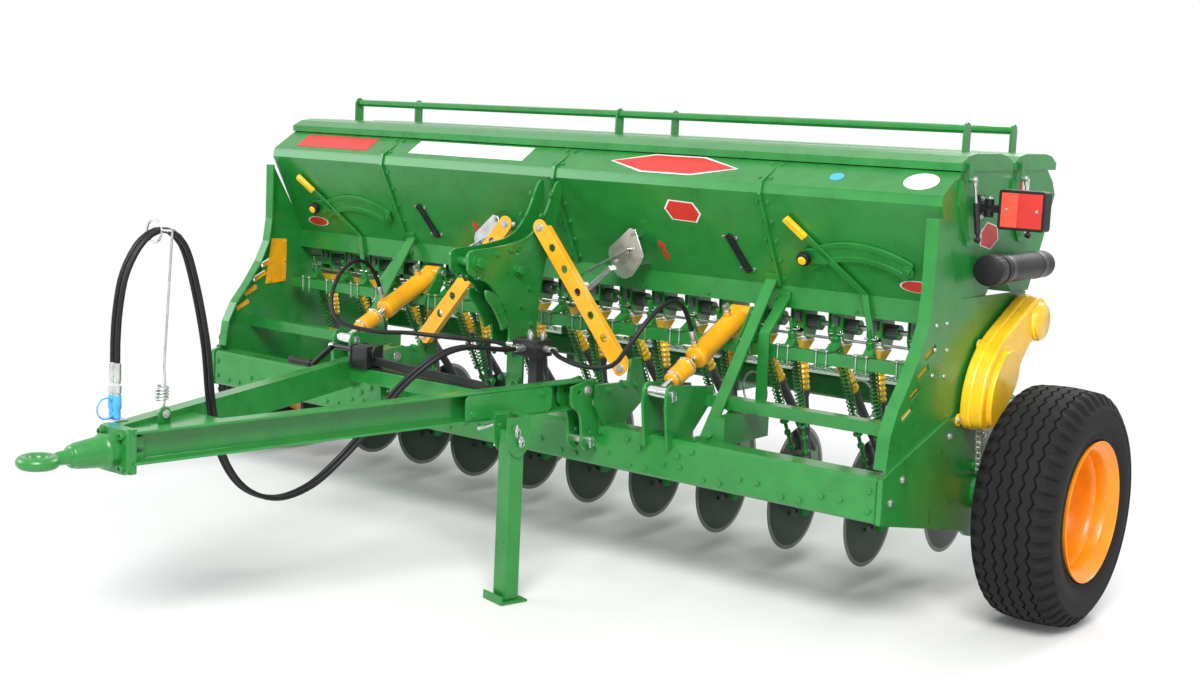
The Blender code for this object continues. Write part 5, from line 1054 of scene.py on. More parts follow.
# %% Shutter levers and their guides
LEVER_TOPS = {1: 1.0176, -1: -1.3200}
GUIDES = {1: 0.780, -1: -0.741}
PANEL_OUT = on_panel(0, 1.1, 1.0) - on_panel(0, 1.1)


def shutter_lever(side, hand):
    x = LEVER_TOPS[side]
    bars, grip, knob, cap = bmesh.new(), bmesh.new(), bmesh.new(), bmesh.new()
    top, knee = on_panel(x + 0.004, 1.190, 0.013), on_panel(x + 0.176, 1.012, 0.013)
    foot = Vector((x + 0.215, 0.455, 0.850))
    for low, high in ((knee, top), (foot, knee)):
        run = (high - low).normalized()
        strip(bars, low - run * 0.004, high + run * 0.004, 0.022, 0.005)
    bolt(bars, foot + Vector((0, -0.003, 0.012)), (0, -1, 0), 0.009)
    knob_at = on_panel(x - 0.012, 1.128, 0.013)
    plate(bars, smoothed([(x - 0.034, 1.118), (x - 0.020, 1.146), (x + 0.030, 1.152), (x + 0.072, 1.128),
                          (x + 0.060, 1.106), (x + 0.010, 1.104)]), 0.0105, 0.0155, on_panel)
    out = PANEL_OUT.normalized()
    lay = facing(out)
    lathe(knob, [(0, 0), (0.012, 0), (0.014, 0.008), (0.0235, 0.012), (0.0250, 0.016), (0.0250, 0.028),
                 (0.0225, 0.033), (0, 0.034)], knob_at, lay, 10)
    lathe(cap, [(0, 0.030), (0.0150, 0.030), (0.0150, 0.036), (0.0125, 0.0385), (0, 0.039)], knob_at, lay, 28)
    start = on_panel(x + 0.004, 1.182, 0.014)
    tip = start + Vector((-0.6, -0.42, 0.65)).normalized() * 0.104
    strip(bars, start, start.lerp(tip, 0.35), 0.016, 0.005)
    strip(grip, start.lerp(tip, 0.10), tip, 0.028, 0.017)
    made = piece(f"lever_bar_{hand}", bars, green, replaces=[f"shutter_lever_{hand}"], edge=0.0008)
    piece(f"lever_grip_{hand}", grip, yellow, edge=0.0050, segments=4)
    piece(f"lever_knob_{hand}", knob, black_plastic, edge=0.0020)
    piece(f"lever_cap_{hand}", cap, yellow, edge=0.0006)
    return made


guide = bmesh.new()
GUIDE_SPAN = 29.5
for side, share in GUIDES.items():
    middle = (share * PANEL_HALF, 1.180 - 0.420)
    for outer, inner in ((0.4215, 0.405), (0.376, 0.3585)):
        ring = arc(middle, outer, 90 + GUIDE_SPAN, 90 - GUIDE_SPAN, 28)
        ring += arc(middle, inner, 90 - GUIDE_SPAN, 90 + GUIDE_SPAN, 28)
        panel_plate(guide, ring, 0.0060, 0.0106)
    for angle in (-28.2, 28.2):
        away = Vector((sin(radians(angle)), cos(radians(angle))))
        end = Vector(middle) + away * 0.390
        panel_plate(guide, arc(tuple(end), 0.0200, 0, 350, 24), 0.0075, 0.0112)
        bolt(guide, on_panel(end.x, end.y, 0.0110), PANEL_OUT, 0.0085)
piece("lever_guides", guide, green, edge=0.0007)
for side, hand in HANDS:
    print(shutter_lever(side, hand).name)

# %% [markdown]
# ## Headstock
# Two tall plates stand on the beam and reach forward in a nose for a crane's pin. Their edges follow
# one long curve. A crescent window is cut behind the front edge, and bolts with nuts tie them together.

# %% Headstock
HEADSTOCK_SHARES = [
    (0.1, 0), (0.1, 0.293), (0.15, 0.361), (-0.075, 0.459), (-0.4, 0.552), (-0.925, 0.605), (-1, 0.657),
    (-0.95, 0.707), (-0.425, 0.718), (0.1, 0.73), (0.65, 0.765), (1.025, 0.855), (1.25, 0.967),
    (1.35, 1), (1.44, 1), (1.46, 0.918), (1.25, 0.765), (1.075, 0.612), (0.95, 0.421), (0.85, 0.026),
    (0.67, 0),
]
CRESCENT = [(-0.098, 0.936), (-0.064, 0.926), (-0.022, 0.892), (0.018, 0.836), (0.034, 0.782), (0.032, 0.742),
            (0.014, 0.738), (0.000, 0.775), (-0.022, 0.822), (-0.055, 0.868), (-0.094, 0.908)]
low_z, rise = BEAM_TOP + GAP, 1.304 - BEAM_TOP - GAP
curve = [(u * 0.200, low_z + v * rise) for u, v in HEADSTOCK_SHARES]
curve = [curve[0]] + smoothed(curve[1:-1], closed=False, steps=4) + [curve[-1]]
head, pins = bmesh.new(), bmesh.new()
holes = [smoothed(CRESCENT, steps=3), (0.060, 1.060, 0.008), (-0.150, 0.985, 0.0095), (-0.118, 0.980, 0.0070)]
for x in (-0.040, 0.040):
    pierced(head, curve, holes, x - 0.005, x + 0.005, from_side)
block(head, (-0.110, 0.110), (-0.012, 0.112), (low_z, low_z + 0.012))
block(head, (-0.036, 0.036), (0.120, 0.132), (low_z + 0.006, 1.080))
for x in (-0.085, 0.085):
    for y in (0.012, 0.088):
        bolt(pins, (x, y, low_z + 0.012), (0, 0, 1), 0.011)
for y, z, radius in ((-0.155, 1.035, 0.015), (0.060, 1.000, 0.012)):
    cross_bar(head, (0, y, z), 0.066, radius, 24)
    for way in (-1, 1):
        bar(head, (way * 0.045, y, z), (way * 0.053, y, z), radius * 1.75, 24)
        bar(pins, (way * 0.053, y, z), (way * 0.068, y, z), radius * 1.25, 6)
for y, z in ((0.100, 0.600), (0.128, 0.690), (0.150, 0.800), (0.060, 0.700), (-0.050, 1.060), (0.020, 1.072),
             (0.235, 1.260), (0.185, 1.185), (0.130, 0.930), (0.090, 0.870), (0.060, 0.590)):
    for way in (-1, 1):
        bolt(pins, (way * 0.045, y, z), (way, 0, 0), 0.0088)
piece("headstock_plates", head, green, replaces=["headstock"], edge=0.0012)
piece("headstock_bolts", pins, green, edge=0.0007)
print("headstock with", len(curve), "points in its curve")

# %% [markdown]
# ## Drawbar
# Two rolled channels run forward from the beam and meet at the hitch flange. Their open sides face
# outwards, so the light catches two thin flanges and leaves the web between them in shade. Plates are
# welded over the channels' rear ends, where the pins pull.

# %% Drawbar
CLEVIS_X = 0.440
BAR_FRONT, BAR_REAR = Vector((0.045, -1.586, 0.592)), Vector((CLEVIS_X, -0.060, 0.630))
BAR_RUN = (BAR_REAR - BAR_FRONT).normalized()
BAR_OUT = Vector((BAR_RUN.y, -BAR_RUN.x, 0)).normalized()
BAR_LENGTH = (BAR_REAR - BAR_FRONT).length


def bar_point(y):
    """The point of the left channel's middle line at a depth."""
    return BAR_FRONT.lerp(BAR_REAR, (y - BAR_FRONT.y) / (BAR_REAR.y - BAR_FRONT.y))


def along_bar(side):
    """Turns (out, up, run) beside the channel on a side into a point."""
    def place(u, v, w):
        spot = BAR_FRONT + BAR_OUT * u + Vector((0, 0, v)) + BAR_RUN * w
        return Vector((side * spot.x, spot.y, spot.z))
    return place


channel = [(-0.025, -0.048), (0.025, -0.048), (0.025, -0.0405), (-0.017, -0.0385), (-0.017, 0.0385),
           (0.025, 0.0405), (0.025, 0.048), (-0.025, 0.048)]
beams, pins = bmesh.new(), bmesh.new()
for side in (-1, 1):
    place = along_bar(side)
    plate(beams, channel, 0, BAR_LENGTH, place)
    cover = [
        (0.0, -0.040), (0.330, -0.040), (0.340, -0.030), (0.340, 0.030), (0.330, 0.040), (0.012, 0.040),
        (0.0, 0.028)
    ]
    start = BAR_LENGTH - 0.480
    plate(beams, [(start + u, v) for u, v in cover], 0.021, 0.029, lambda u, v, w: place(w, v, u))
    for u, v in ((0.030, -0.022), (0.300, 0.020)):
        spot = place(0.029, v, start + u)
        bolt(beams, spot, place(1, 0, 0) - place(0, 0, 0), 0.009)
    ear = [
        (-0.150, 0.664), (-0.148, 0.606), (-0.100, 0.566), (-0.086, 0.500), (-0.084, 0.462),
        (-0.050, 0.438), (-0.014, 0.462), (-0.0008, 0.500), (-0.0008, 0.655), (-0.030, 0.682)
    ]
    rounded = ear[:1] + smoothed(ear[:8], closed=False, steps=4)[1:] + ear[8:]
    for way in (-1, 1):
        middle = side * CLEVIS_X + way * 0.0285
        pierced(
            beams, rounded, [(-0.110, 0.640, 0.0085), (-0.050, 0.505, 0.0070)], middle - 0.006,
            middle + 0.006, from_side
        )
        bolt(pins, (middle + way * 0.006, -0.066, 0.645), (way, 0, 0), 0.013)
        bolt(pins, (middle + way * 0.006, -0.024, 0.600), (way, 0, 0), 0.010)
    cross_bar(pins, (side * CLEVIS_X, -0.050, 0.475), 0.052, 0.0140, 24)
    lynch_pin(pins, (side * CLEVIS_X + 0.046, -0.050, 0.475), (0, -0.2, -1))
rear = bar_point(-1.240)
gusset = [(-0.026, -1.586), (0.026, -1.586), (rear.x - 0.019, rear.y), (-rear.x + 0.019, rear.y)]
plate(beams, gusset, 0.619, 0.626, from_above)
tie = bar_point(-0.350)
block(beams, (-tie.x - 0.020, tie.x + 0.020), (-0.375, -0.325), (tie.z - 0.025, tie.z + 0.025))
block(beams, (-0.064, 0.064), (-1.600, -1.579), (0.518, 0.646))
for z in (0.560, 0.604):
    for way in (-1, 1):
        block(beams, (way * 0.040 - 0.012, way * 0.040 + 0.012), (-1.582, -1.545), (z - 0.016, z + 0.016))
turn = Matrix.Translation((0.448, -0.420, 0)) @ Matrix.Rotation(-atan2(BAR_RUN.x, BAR_RUN.y), 4, "Z")
ear = [
    (-0.045, 0.600), (-0.047, 0.540), (-0.036, 0.496), (0.0, 0.470), (0.036, 0.496), (0.047, 0.540),
    (0.045, 0.600)
]
for way in (-1, 1):
    low, high = sorted((way * 0.0334, way * 0.0392))
    pierced(beams, smoothed(ear, closed=False, steps=4), [(-0.026, 0.570, 0.006)], low, high,
            lambda u, v, w: turn @ Vector((w, u, v)))
spot = turn.inverted() @ bar_point(-0.420)
block(beams, (spot.x, -0.036), (-0.036, 0.036), (0.575, 0.603), turn)
block(beams, (-0.0392, 0.0392), (0.0135, 0.045), (0.598, 0.605), turn)
for way in (-1, 1):
    bar(pins, turn @ Vector((way * 0.034, 0, 0.530)), turn @ Vector((way * 0.052, 0, 0.530)), 0.0105, 20)
    bar(
        pins, turn @ Vector((way * 0.0392, -0.020, 0.566)), turn @ Vector((way * 0.058, -0.020, 0.566)),
        0.0070, 16
    )
lynch_pin(pins, turn @ Vector((0.050, 0, 0.530)))
lynch_pin(pins, turn @ Vector((0.055, -0.020, 0.566)))
bar(pins, turn @ Vector((-0.052, -0.028, 0.500)), turn @ Vector((-0.052, 0.030, 0.474)), 0.0060, 12)
bar(pins, turn @ Vector((-0.060, -0.020, 0.566)), turn @ Vector((-0.115, -0.052, 0.540)), 0.0060, 12)
piece("drawbar_beams", beams, green, replaces=["drawbar"], edge=0.0012)
piece("drawbar_pins", pins, zinc, edge=0.0006)
print("drawbar", round(BAR_LENGTH, 3), "m long")

# %% [markdown]
# ## Hitch eye
# The tow eye is a forging: a ring that flows into a round shank, a turned neck, and a square flange with
# four socket screws. The ring is a circle spun about the pin's line. The shank is spun about its own.

# %% Hitch eye
EYE = Vector((0, -1.852, 0.582))
EYE_RADIUS, EYE_WIRE = 0.041, 0.0178
forged, screws = bmesh.new(), bmesh.new()
wire_ring(forged, EYE, EYE_RADIUS, EYE_WIRE, "Z", 56, 28)
neck = [(0, 0.050), (0.0150, 0.050), (0.0190, 0.062), (0.0205, 0.088), (0.0235, 0.096), (0.0300, 0.099),
        (0.0325, 0.103), (0.0330, 0.112), (0.0360, 0.116), (0.0435, 0.186), (0.0460, 0.198), (0.0495, 0.201),
        (0.0495, 0.210), (0.0460, 0.213), (0.0460, 0.240), (0, 0.240)]
lathe(forged, neck, EYE, "Y", 48)
flange = [
    (-0.064, -0.054), (-0.054, -0.064), (0.054, -0.064), (0.064, -0.054), (0.064, 0.054), (0.054, 0.064),
    (-0.054, 0.064), (-0.064, 0.054)
]
front_plate(forged, [(u, EYE.z + v) for u, v in flange], (-1.614, -1.6003))
for u in (-1, 1):
    for v in (-1, 1):
        x, z = u * 0.046, EYE.z + v * 0.046
        socket = [(0.0095, 0.0135), (0.0060, 0.0135), (0.0055, 0.006), (0, 0.006)]
        lathe(
            screws, [(0, 0), (0.0105, 0), (0.0105, 0.0125), *socket], (x, -1.614, z), facing((0, -1, 0)), 24
        )
piece("forged_eye", forged, green, replaces=["hitch_eye"], edge=0.0010)
piece("flange_screws", screws, green)
print("eye", (EYE_RADIUS + EYE_WIRE) * 2, "m across")

# %% [markdown]
# ## Hose holder and couplers
# A spring-steel rod holds the hoses up: four coils at its foot let it swing when they catch, and a ring
# at its top carries them. The couplers wear soft caps on straps that keep dirt out.

# %% Hose holder
HOLDER = Vector((0.010, -1.455, 0.626))
PIN_Z, ROD_WIRE, COIL_RADIUS = 0.668, 0.0034, 0.0155
lug, rod = bmesh.new(), bmesh.new()
block(lug, (-0.015, 0.035), (-1.480, -1.430), (HOLDER.z + GAP, HOLDER.z + 0.006))
tab = [(-1.476, 0.630), (-1.434, 0.630), *arc((HOLDER.y, PIN_Z), 0.021, 0, 180, 10)]
pierced(lug, tab, [(HOLDER.y, PIN_Z, 0.007)], 0.020, 0.026, from_side)
bar(rod, (0.001, HOLDER.y, PIN_Z), (0.034, HOLDER.y, PIN_Z), 0.0065, 16)
for x in (0.018, 0.028):
    bar(rod, (x, HOLDER.y, PIN_Z), (x + 0.004, HOLDER.y, PIN_Z), 0.0125, 20)
bar(rod, (0.012, HOLDER.y, 0.662), (HOLDER.x + COIL_RADIUS, HOLDER.y, 0.712), ROD_WIRE, 12)
spring(rod, (HOLDER.x, HOLDER.y, 0.706), (HOLDER.x, HOLDER.y, 0.744), 0.0165, 0.0038, 4, 8, 24)
top = Vector((0.010, -1.425, 1.186))
bar(rod, (HOLDER.x + COIL_RADIUS, HOLDER.y, 0.740), (0.014, -1.451, 0.800), ROD_WIRE, 12)
bar(rod, (0.014, -1.4512, 0.798), top, ROD_WIRE, 12)
hoop = Vector((-0.080, -1.418, 1.178))
bar(rod, top - Vector((0, 0, 0.001)), hoop + Vector((0.033, 0, 0.004)), ROD_WIRE, 12)
wire_ring(rod, hoop, 0.033, 0.0032, "Y")
piece("holder_lug", lug, green, edge=0.0010)
piece("sprung_rod", rod, zinc, replaces=["hose_holder"])
bodies, caps = bmesh.new(), bmesh.new()
low = bar_point(-1.512).z + 0.048 + GAP
block(bodies, (-0.126, -0.065), (-1.556, -1.512), (low, low + 0.004))
for way in (-1, 1):
    x = COUPLER.x + way * HOSE_SPACING / 2
    foot = (x, COUPLER.y, 0)
    lathe(
        bodies,
        [
            (0, 0.704), (0.0100, 0.704), (0.0100, 0.718), (0.0120, 0.720), (0.0120, 0.742), (0.0095, 0.745),
            (0.0095, 0.752), (0.0108, 0.755), (0.0108, 0.800), (0.0095, 0.806), (0, 0.806)
        ],
        foot, "Z", 24
    )
    lathe(caps, [(0, low + 0.005), (0.0095, low + 0.005), (0.0108, low + 0.010), (0.0100, low + 0.030),
                 (0.0125, low + 0.034), (0.0125, 0.706), (0.0115, 0.712), (0, 0.712)], foot, "Z", 28)
wire_ring(caps, (COUPLER.x, COUPLER.y - 0.030, low + 0.034), 0.030, 0.0024, "X", 36, 8)
piece("coupler_bodies", bodies, zinc, replaces=["hose_couplers"], edge=0.0005)
piece("coupler_caps", caps, blue_cap)
print("couplers: 2")

# %% [markdown]
# ## Crank jack and valve block
# The crank drives a gearbox through a bent bar with a turning grip. The valve block is a machined billet:
# chamfered, drilled, and crowded with steel fittings.

# %% Crank jack
box, grip, steel = bmesh.new(), bmesh.new(), bmesh.new()
low, JACK_Y, JACK_Z = 0.6481, -0.350, 0.7041
block(box, (-0.318, -0.242), (-0.388, -0.312), (low, low + 0.078))
for x in (-0.322, -0.246):
    block(box, (x, x + 0.008), (-0.392, -0.308), (low + 0.006, low + 0.082))
bar(box, (-0.335, JACK_Y, JACK_Z), (-0.225, JACK_Y, JACK_Z), 0.026, 28)
arm = [
    (-0.270, 0.664), (-0.270, 0.694), (-0.230, 0.694), (0.280, 0.676), (0.290, 0.668), (0.290, 0.652),
    (0.280, 0.650)
]
front_plate(box, arm, (-0.363, -0.356))
shelf = [(-0.270, -0.363), (-0.270, -0.330), (0.285, -0.330), (0.285, -0.363)]
plate(box, shelf, 0.6485, 0.6535, from_above)
bar(box, (-0.440, JACK_Y, JACK_Z), (-0.330, JACK_Y, JACK_Z), 0.0095, 20)
throw = Vector((0, -0.85, -0.50)) * 0.110
start = Vector((-0.446, JACK_Y, JACK_Z))
strip(box, start - throw * 0.10, start + throw * 1.08, 0.012, 0.020)
lathe(grip, [(0, 0.008), (0.012, 0.008), (0.0150, 0.012), (0.0135, 0.040), (0.0140, 0.080), (0.0155, 0.112),
             (0.0135, 0.118), (0, 0.118)], start + throw, facing((-1, 0, 0)), 28)
for y in (-0.378, -0.322):
    for z in (low + 0.016, low + 0.068):
        bolt(steel, (-0.322, y, z), (-1, 0, 0), 0.007)
bar(steel, start + Vector((0.006, 0, 0)), start - Vector((0.012, 0, 0)), 0.0125, 20)
piece("jack_gearbox", box, black_paint, replaces=["crank_jack"], edge=0.0025)
piece("jack_grip", grip, black_plastic)
piece("jack_bolts", steel, zinc, edge=0.0004)

# %% Valve block
billet, ports = bmesh.new(), bmesh.new()
block(billet, (0.1105, 0.2195), (-0.0295, 0.0595), (0.7155, 0.7745))
block(billet, (0.145, 0.185), (0.020, 0.060), (BEAM_TOP + GAP, 0.718))
block(billet, (0.120, 0.210), (0.010, 0.070), (BEAM_TOP + GAP, BEAM_TOP + 0.010))


def fitting(spot, way):
    """A hose's nut and ferrule on the billet."""
    spot, way = Vector(spot), Vector(way)
    bar(ports, spot - way * 0.002, spot + way * 0.012, 0.0122, 6)
    ferrule = [(0, 0.008), (0.0100, 0.008), (0.0106, 0.014), (0.0106, 0.046), (0.0094, 0.050), (0, 0.050)]
    lathe(ports, ferrule, spot, facing(way), 20)


for x in (0.143, 0.165):
    fitting((x, -0.030, 0.745), (0, -1, 0))
fitting((0.220, 0.015, 0.745), (1, 0, 0))
fitting((0.110, 0.005, 0.745), (-1, 0, 0))
for x, y in ((0.135, 0.035), (0.165, 0.005), (0.195, 0.035)):
    bar(ports, (x, y, 0.774), (x, y, 0.792), 0.0105, 6)
    bar(ports, (x, y, 0.790), (x, y, 0.800), 0.0070, 16)
piece("valve_billet", billet, black_paint, replaces=["valve_block"], edge=0.0035, segments=3)
piece("valve_fittings", ports, zinc, edge=0.0005)
print("fittings: 4 hoses and 3 plugs")

# %% [markdown]
# ## Bolts along the beam
# Every opener hangs from two pairs of bolts through the beam. They were sprayed with it, so they stay
# green. Pairs step up and down by turns to clear the openers' arms.

# %% Beam bolts
heads = bmesh.new()
for i in range(ROW_COUNT):
    x = (i - (ROW_COUNT - 1) / 2) * PITCH - 0.012
    for away, z in ((-0.100, 0.408), (-0.037, 0.408), (0.037, 0.435), (0.100, 0.435)):
        bolt(heads, (x + away, 0, z), (0, -1, 0), 0.0085)
for side in (-1, 1):
    for x, z in ((0.490, 0.500), (0.6, 0.492), (0.855, 0.492), (CYLINDER_X - 0.075, 0.470),
                 (CYLINDER_X + 0.075, 0.470)):
        bolt(heads, (side * x, 0, z), (0, -1, 0), 0.0100)
    for z in (0.420, 0.480):
        bolt(heads, (side * PIVOT_HALF, 0, z), (0, -1, 0), 0.0090)
    for x in (-0.0063, 0.0063):
        for y, z in ((0.020, 0.640), (0.110, 0.650), (0.180, 0.640)):
            bolt(heads, (side * 0.490 + x, y, z), (x, 0, 0), 0.0100)
piece("beam_bolts", heads, green, edge=0.0007)
print("beam bolts:", 4 * ROW_COUNT)

# %% [markdown]
# ## The hopper's front
# Sheet steel is only stiff where it is folded or bolted to a rib. Rows of bolts run beside the three ribs
# and along the skirt. Narrow sight windows show the level of the seed. Plain coloured plates, left blank,
# are there for whatever the user of the model wants to put on them.

# %% Rib and skirt bolts, and sight windows
bolts, frames, panes, screws = bmesh.new(), bmesh.new(), bmesh.new(), bmesh.new()
brow_out = on_brow(0, 0.5, 1.0) - on_brow(0, 0.5)
for x in (-0.871, 0.0, 0.871):
    for away in (-0.019, 0.019):
        for height in (1.292, 1.226, 1.160, 1.094, 1.030):
            bolt(bolts, on_panel(x + away, height), PANEL_OUT, 0.0070)
        for share in (0.20, 0.80):
            bolt(bolts, on_brow(x + away, share), brow_out, 0.0070)
        bolt(bolts, (x + away, PANEL_FOOT.x, 0.962), (0, -1, 0), 0.0070)
for i in range(11):
    if i % 5:
        bolt(bolts, ((i - 5) * 0.290, PANEL_FOOT.x, 0.948), (0, -1, 0), 0.0065)
strip(
    bolts, (-PANEL_HALF + 0.002, PANEL_FOOT.x - 0.001, 0.9345),
    (PANEL_HALF - 0.002, PANEL_FOOT.x - 0.001, 0.9345), 0.004, 0.006
)
piece("hopper_bolts", bolts, green, edge=0.0005)
for x in (-0.7175, 0.7310):
    lean, half = 0.022, 0.0135
    ends = [(x - lean, 1.158), (x + lean, 1.052)]
    turn = degrees(atan2(ends[1][1] - ends[0][1], ends[1][0] - ends[0][0]))
    slot_line = arc(ends[0], half, turn + 90, turn + 270, 10) + arc(ends[1], half, turn - 90, turn + 90, 10)
    pane_line = arc(
        ends[0], half - 0.0055, turn + 90, turn + 270, 10
    ) + arc(ends[1], half - 0.0055, turn - 90, turn + 90, 10)
    pierced(frames, slot_line, [pane_line], -0.001, 0.0075, on_panel)
    panel_plate(panes, pane_line, -0.001, 0.0045)
    for spot in (ends[0], ends[1]):
        for way in (-1, 1):
            bar(
                screws, on_panel(spot[0] + way * 0.0255, spot[1], -0.001),
                on_panel(spot[0] + way * 0.0255, spot[1], 0.005), 0.0062, 14
            )
            strip(
                frames, on_panel(spot[0], spot[1], 0.002), on_panel(spot[0] + way * 0.028, spot[1], 0.002),
                0.010, 0.004
            )
piece("window_frames", frames, black_plastic, edge=0.0012)
piece("window_panes", panes, window_dark)
piece("window_screws", screws, zinc, edge=0.0008)
print("sight windows: 2")

# %% Blank plates
red_shapes, white_shapes, blue_shapes, arrows = bmesh.new(), bmesh.new(), bmesh.new(), bmesh.new()


def brow_plate(shape, outline, low, high):
    """A plate on the brow, its outline in (x, share of the brow's height) points."""
    plate(shape, outline, low, high, on_brow)


def oval(x, height, wide, tall, corners):
    """An ellipse's outline."""
    turns = [tau * i / corners for i in range(corners)]
    return [(x + wide * cos(turn), height + tall * sin(turn)) for turn in turns]


def long_hexagon(left, right, low, high, cut):
    middle = (low + high) / 2
    return [
        (left, middle), (left + cut, low), (right - cut, low), (right, middle), (right - cut, high),
        (left + cut, high)
    ]


brow_plate(red_shapes, [(-1.403, 0.20), (-0.990, 0.20), (-0.990, 0.84), (-1.403, 0.84)], 0.0002, 0.0012)
brow_plate(white_shapes, [(-0.760, 0.22), (-0.178, 0.22), (-0.178, 0.86), (-0.760, 0.86)], 0.0002, 0.0012)
brow_plate(white_shapes, long_hexagon(0.208, 0.741, 0.10, 0.92, 0.160), 0.0002, 0.0012)
brow_plate(red_shapes, long_hexagon(0.220, 0.729, 0.15, 0.87, 0.155), 0.0012, 0.0018)
brow_plate(white_shapes, oval(1.410, 0.48, 0.058, 0.33, 36), 0.0002, 0.0012)
brow_plate(blue_shapes, oval(1.117, 0.46, 0.024, 0.15, 24), 0.0002, 0.0012)
BADGE = [(-0.075, 0.006), (-0.050, 0.038), (0.052, 0.034), (0.075, -0.004), (0.050, -0.036), (-0.052, -0.032)]
END_BADGE = [
    (-0.022, 0.046), (0.058, 0.030), (0.074, -0.014), (0.012, -0.046), (-0.066, -0.030), (-0.070, 0.014)
]
END_FACE = 1.5121
for scale, shape, low, high in ((1.0, white_shapes, 0.0002, 0.0010), (0.90, red_shapes, 0.0010, 0.0016)):
    panel_plate(shape, [(0.538 + u * scale, 1.235 + v * scale) for u, v in BADGE], low, high)
    for x in (-1.380, 1.380):
        panel_plate(shape, oval(x, 1.052, 0.060 * scale, 0.0195 * scale, 32), low, high)
    ends = [(0.665 + u * scale, 1.219 + v * scale) for u, v in END_BADGE]
    side_plate(shape, ends, (END_FACE + low, END_FACE + high))
ARROW = [(0, 0.036), (0.017, 0.014), (0.007, 0.014), (0.007, -0.014), (0.017, -0.014), (0, -0.036),
         (-0.017, -0.014), (-0.007, -0.014), (-0.007, 0.014), (-0.017, 0.014)]
for x in (-0.463, 0.415):
    panel_plate(arrows, [(x + u - v * 0.30, 1.087 + v) for u, v in ARROW], 0.0002, 0.0014)
BAND = [(0.885, 1.400), (0.903, 1.400), (0.910, 1.218), (0.892, 1.218)]
for i in range(4):
    shape = red_shapes if i % 2 == 0 else white_shapes
    side_plate(shape, [(y + i * 0.018, z) for y, z in BAND], (1.5122, 1.5134))
piece("red_plates", red_shapes, red_plate)
piece("white_plates", white_shapes, white_plate)
piece("blue_plate", blue_shapes, blue_cap)
piece("arrow_plates", arrows, red_plate)

# %% Rate quadrants
quads, levers = bmesh.new(), bmesh.new()
QUADRANT = [(0.309, 1.159), (0.333, 1.155), (0.375, 1.065), (0.368, 1.045), (0.330, 0.990), (0.300, 0.976),
            (0.268, 0.980), (0.238, 1.009), (0.219, 1.060), (0.223, 1.082)]
for move in (0.0, -0.642):
    front_plate(quads, [(x + move, z) for x, z in QUADRANT], (0.359, 0.363))
    block(quads, (move + 0.286, move + 0.330), (0.361, on_panel(0, 1.128).y + 0.002), (1.126, 1.130))
    block(quads, (move + 0.300, move + 0.345), (0.361, on_panel(0, 1.032).y + 0.002), (1.030, 1.034))
    strip(levers, (move + 0.318, 0.355, 1.086), (move + 0.128, 0.355, 0.985), 0.005, 0.030)
    bar(levers, (move + 0.146, 0.350, 0.927), (move + 0.240, 0.350, 1.010), 0.0105, 20)
    for x, z in ((0.303, 1.072), (0.253, 1.035), (0.323, 1.144), (0.365, 1.058)):
        bolt(levers, (move + x, 0.3545, z), (0, -1, 0), 0.0080)
piece("rate_quadrants", quads, zinc, edge=0.0012)
piece("quadrant_levers", levers, zinc, edge=0.0006)
print("quadrants: 2")

# %% [markdown]
# ## The left end
# The chain guard is pressed from one sheet in two steps, so every edge is a generous curve. Its raised
# field gives the chain room. Below it the chain runs down to the wheel. Beside the hopper are the tube for
# papers, a lamp on a hinged arm, and the gas struts that carry the lids.

# %% Chain guard
def inset(outline, distance):
    """An outline moved inwards by a distance, corner by corner."""
    made = []
    for before, here, after in zip(outline[-1:] + outline, outline, outline[1:] + outline[:1]):
        run = (Vector(after) - Vector(before)).normalized()
        made.append((here[0] - run.y * distance, here[1] + run.x * distance))
    return made


GUARD_IN, GUARD_OUT = 1.5286, 1.6041
GUARD_SHARES = [
    (0.6, 0.061), (0.772, 0.196), (0.919, 0.404), (1, 0.664), (0.985, 0.93), (0.831, 1), (0.65, 0.924),
    (0.402, 0.682), (0.294, 0.434), (0.135, 0.235)
]
BULGE_SHARES = [
    (0.650, 0.235), (0.800, 0.380), (0.900, 0.600), (0.912, 0.820), (0.880, 0.925), (0.820, 0.945),
    (0.686, 0.850), (0.490, 0.650), (0.410, 0.470), (0.440, 0.270)
]


def on_guard(shares):
    return [(0.905 - u * 0.408, 0.932 - v * 0.327) for u, v in shares]


shell, field = bmesh.new(), bmesh.new()
line = smoothed(on_guard(GUARD_SHARES), closed=False, steps=4)
edge_line = arc((0.905, 0.932), 0.085, -30, 120, 14) + line
side_plate(shell, edge_line, (GUARD_IN, GUARD_IN + 0.038))
side_plate(shell, inset(edge_line, 0.004), (GUARD_IN + 0.030, GUARD_OUT))
piece("guard_shell", shell, yellow, replaces=["chain_guard"], edge=0.0090, segments=4, angle=50)
side_plate(field, smoothed(on_guard(BULGE_SHARES), steps=4), (GUARD_OUT - 0.010, GUARD_OUT + 0.016))
lathe(
    field,
    [
        (0, -0.010), (0.066, -0.010), (0.066, 0.003), (0.062, 0.008), (0.062, 0.012), (0.057, 0.016),
        (0, 0.016)
    ],
    (GUARD_OUT, 0.905, 0.932), "X", 48
)
piece("guard_field", field, yellow, edge=0.0070, segments=4, angle=50)
tabs, steel = bmesh.new(), bmesh.new()
for y, z in ((0.490, 0.640), (0.610, 0.868)):
    side_plate(tabs, arc((y, z), 0.020, 0, 345, 23), (GUARD_IN, GUARD_IN + 0.006))
    bolt(steel, (GUARD_IN + 0.006, y - 0.004, z), (1, 0, 0), 0.0085)
for y, z in ((0.307, 0.955), (0.379, 0.956), (0.306, 0.880), (0.391, 0.871), (0.300, 0.800), (0.383, 0.789)):
    for side in (-1, 1):
        lathe(steel, [(0, -0.001), (0.0075, -0.001), (0.0070, 0.002), (0.0045, 0.004), (0, 0.0045)],
              (side * PLATE_FACE, y, z), facing((side, 0, 0)), 16)
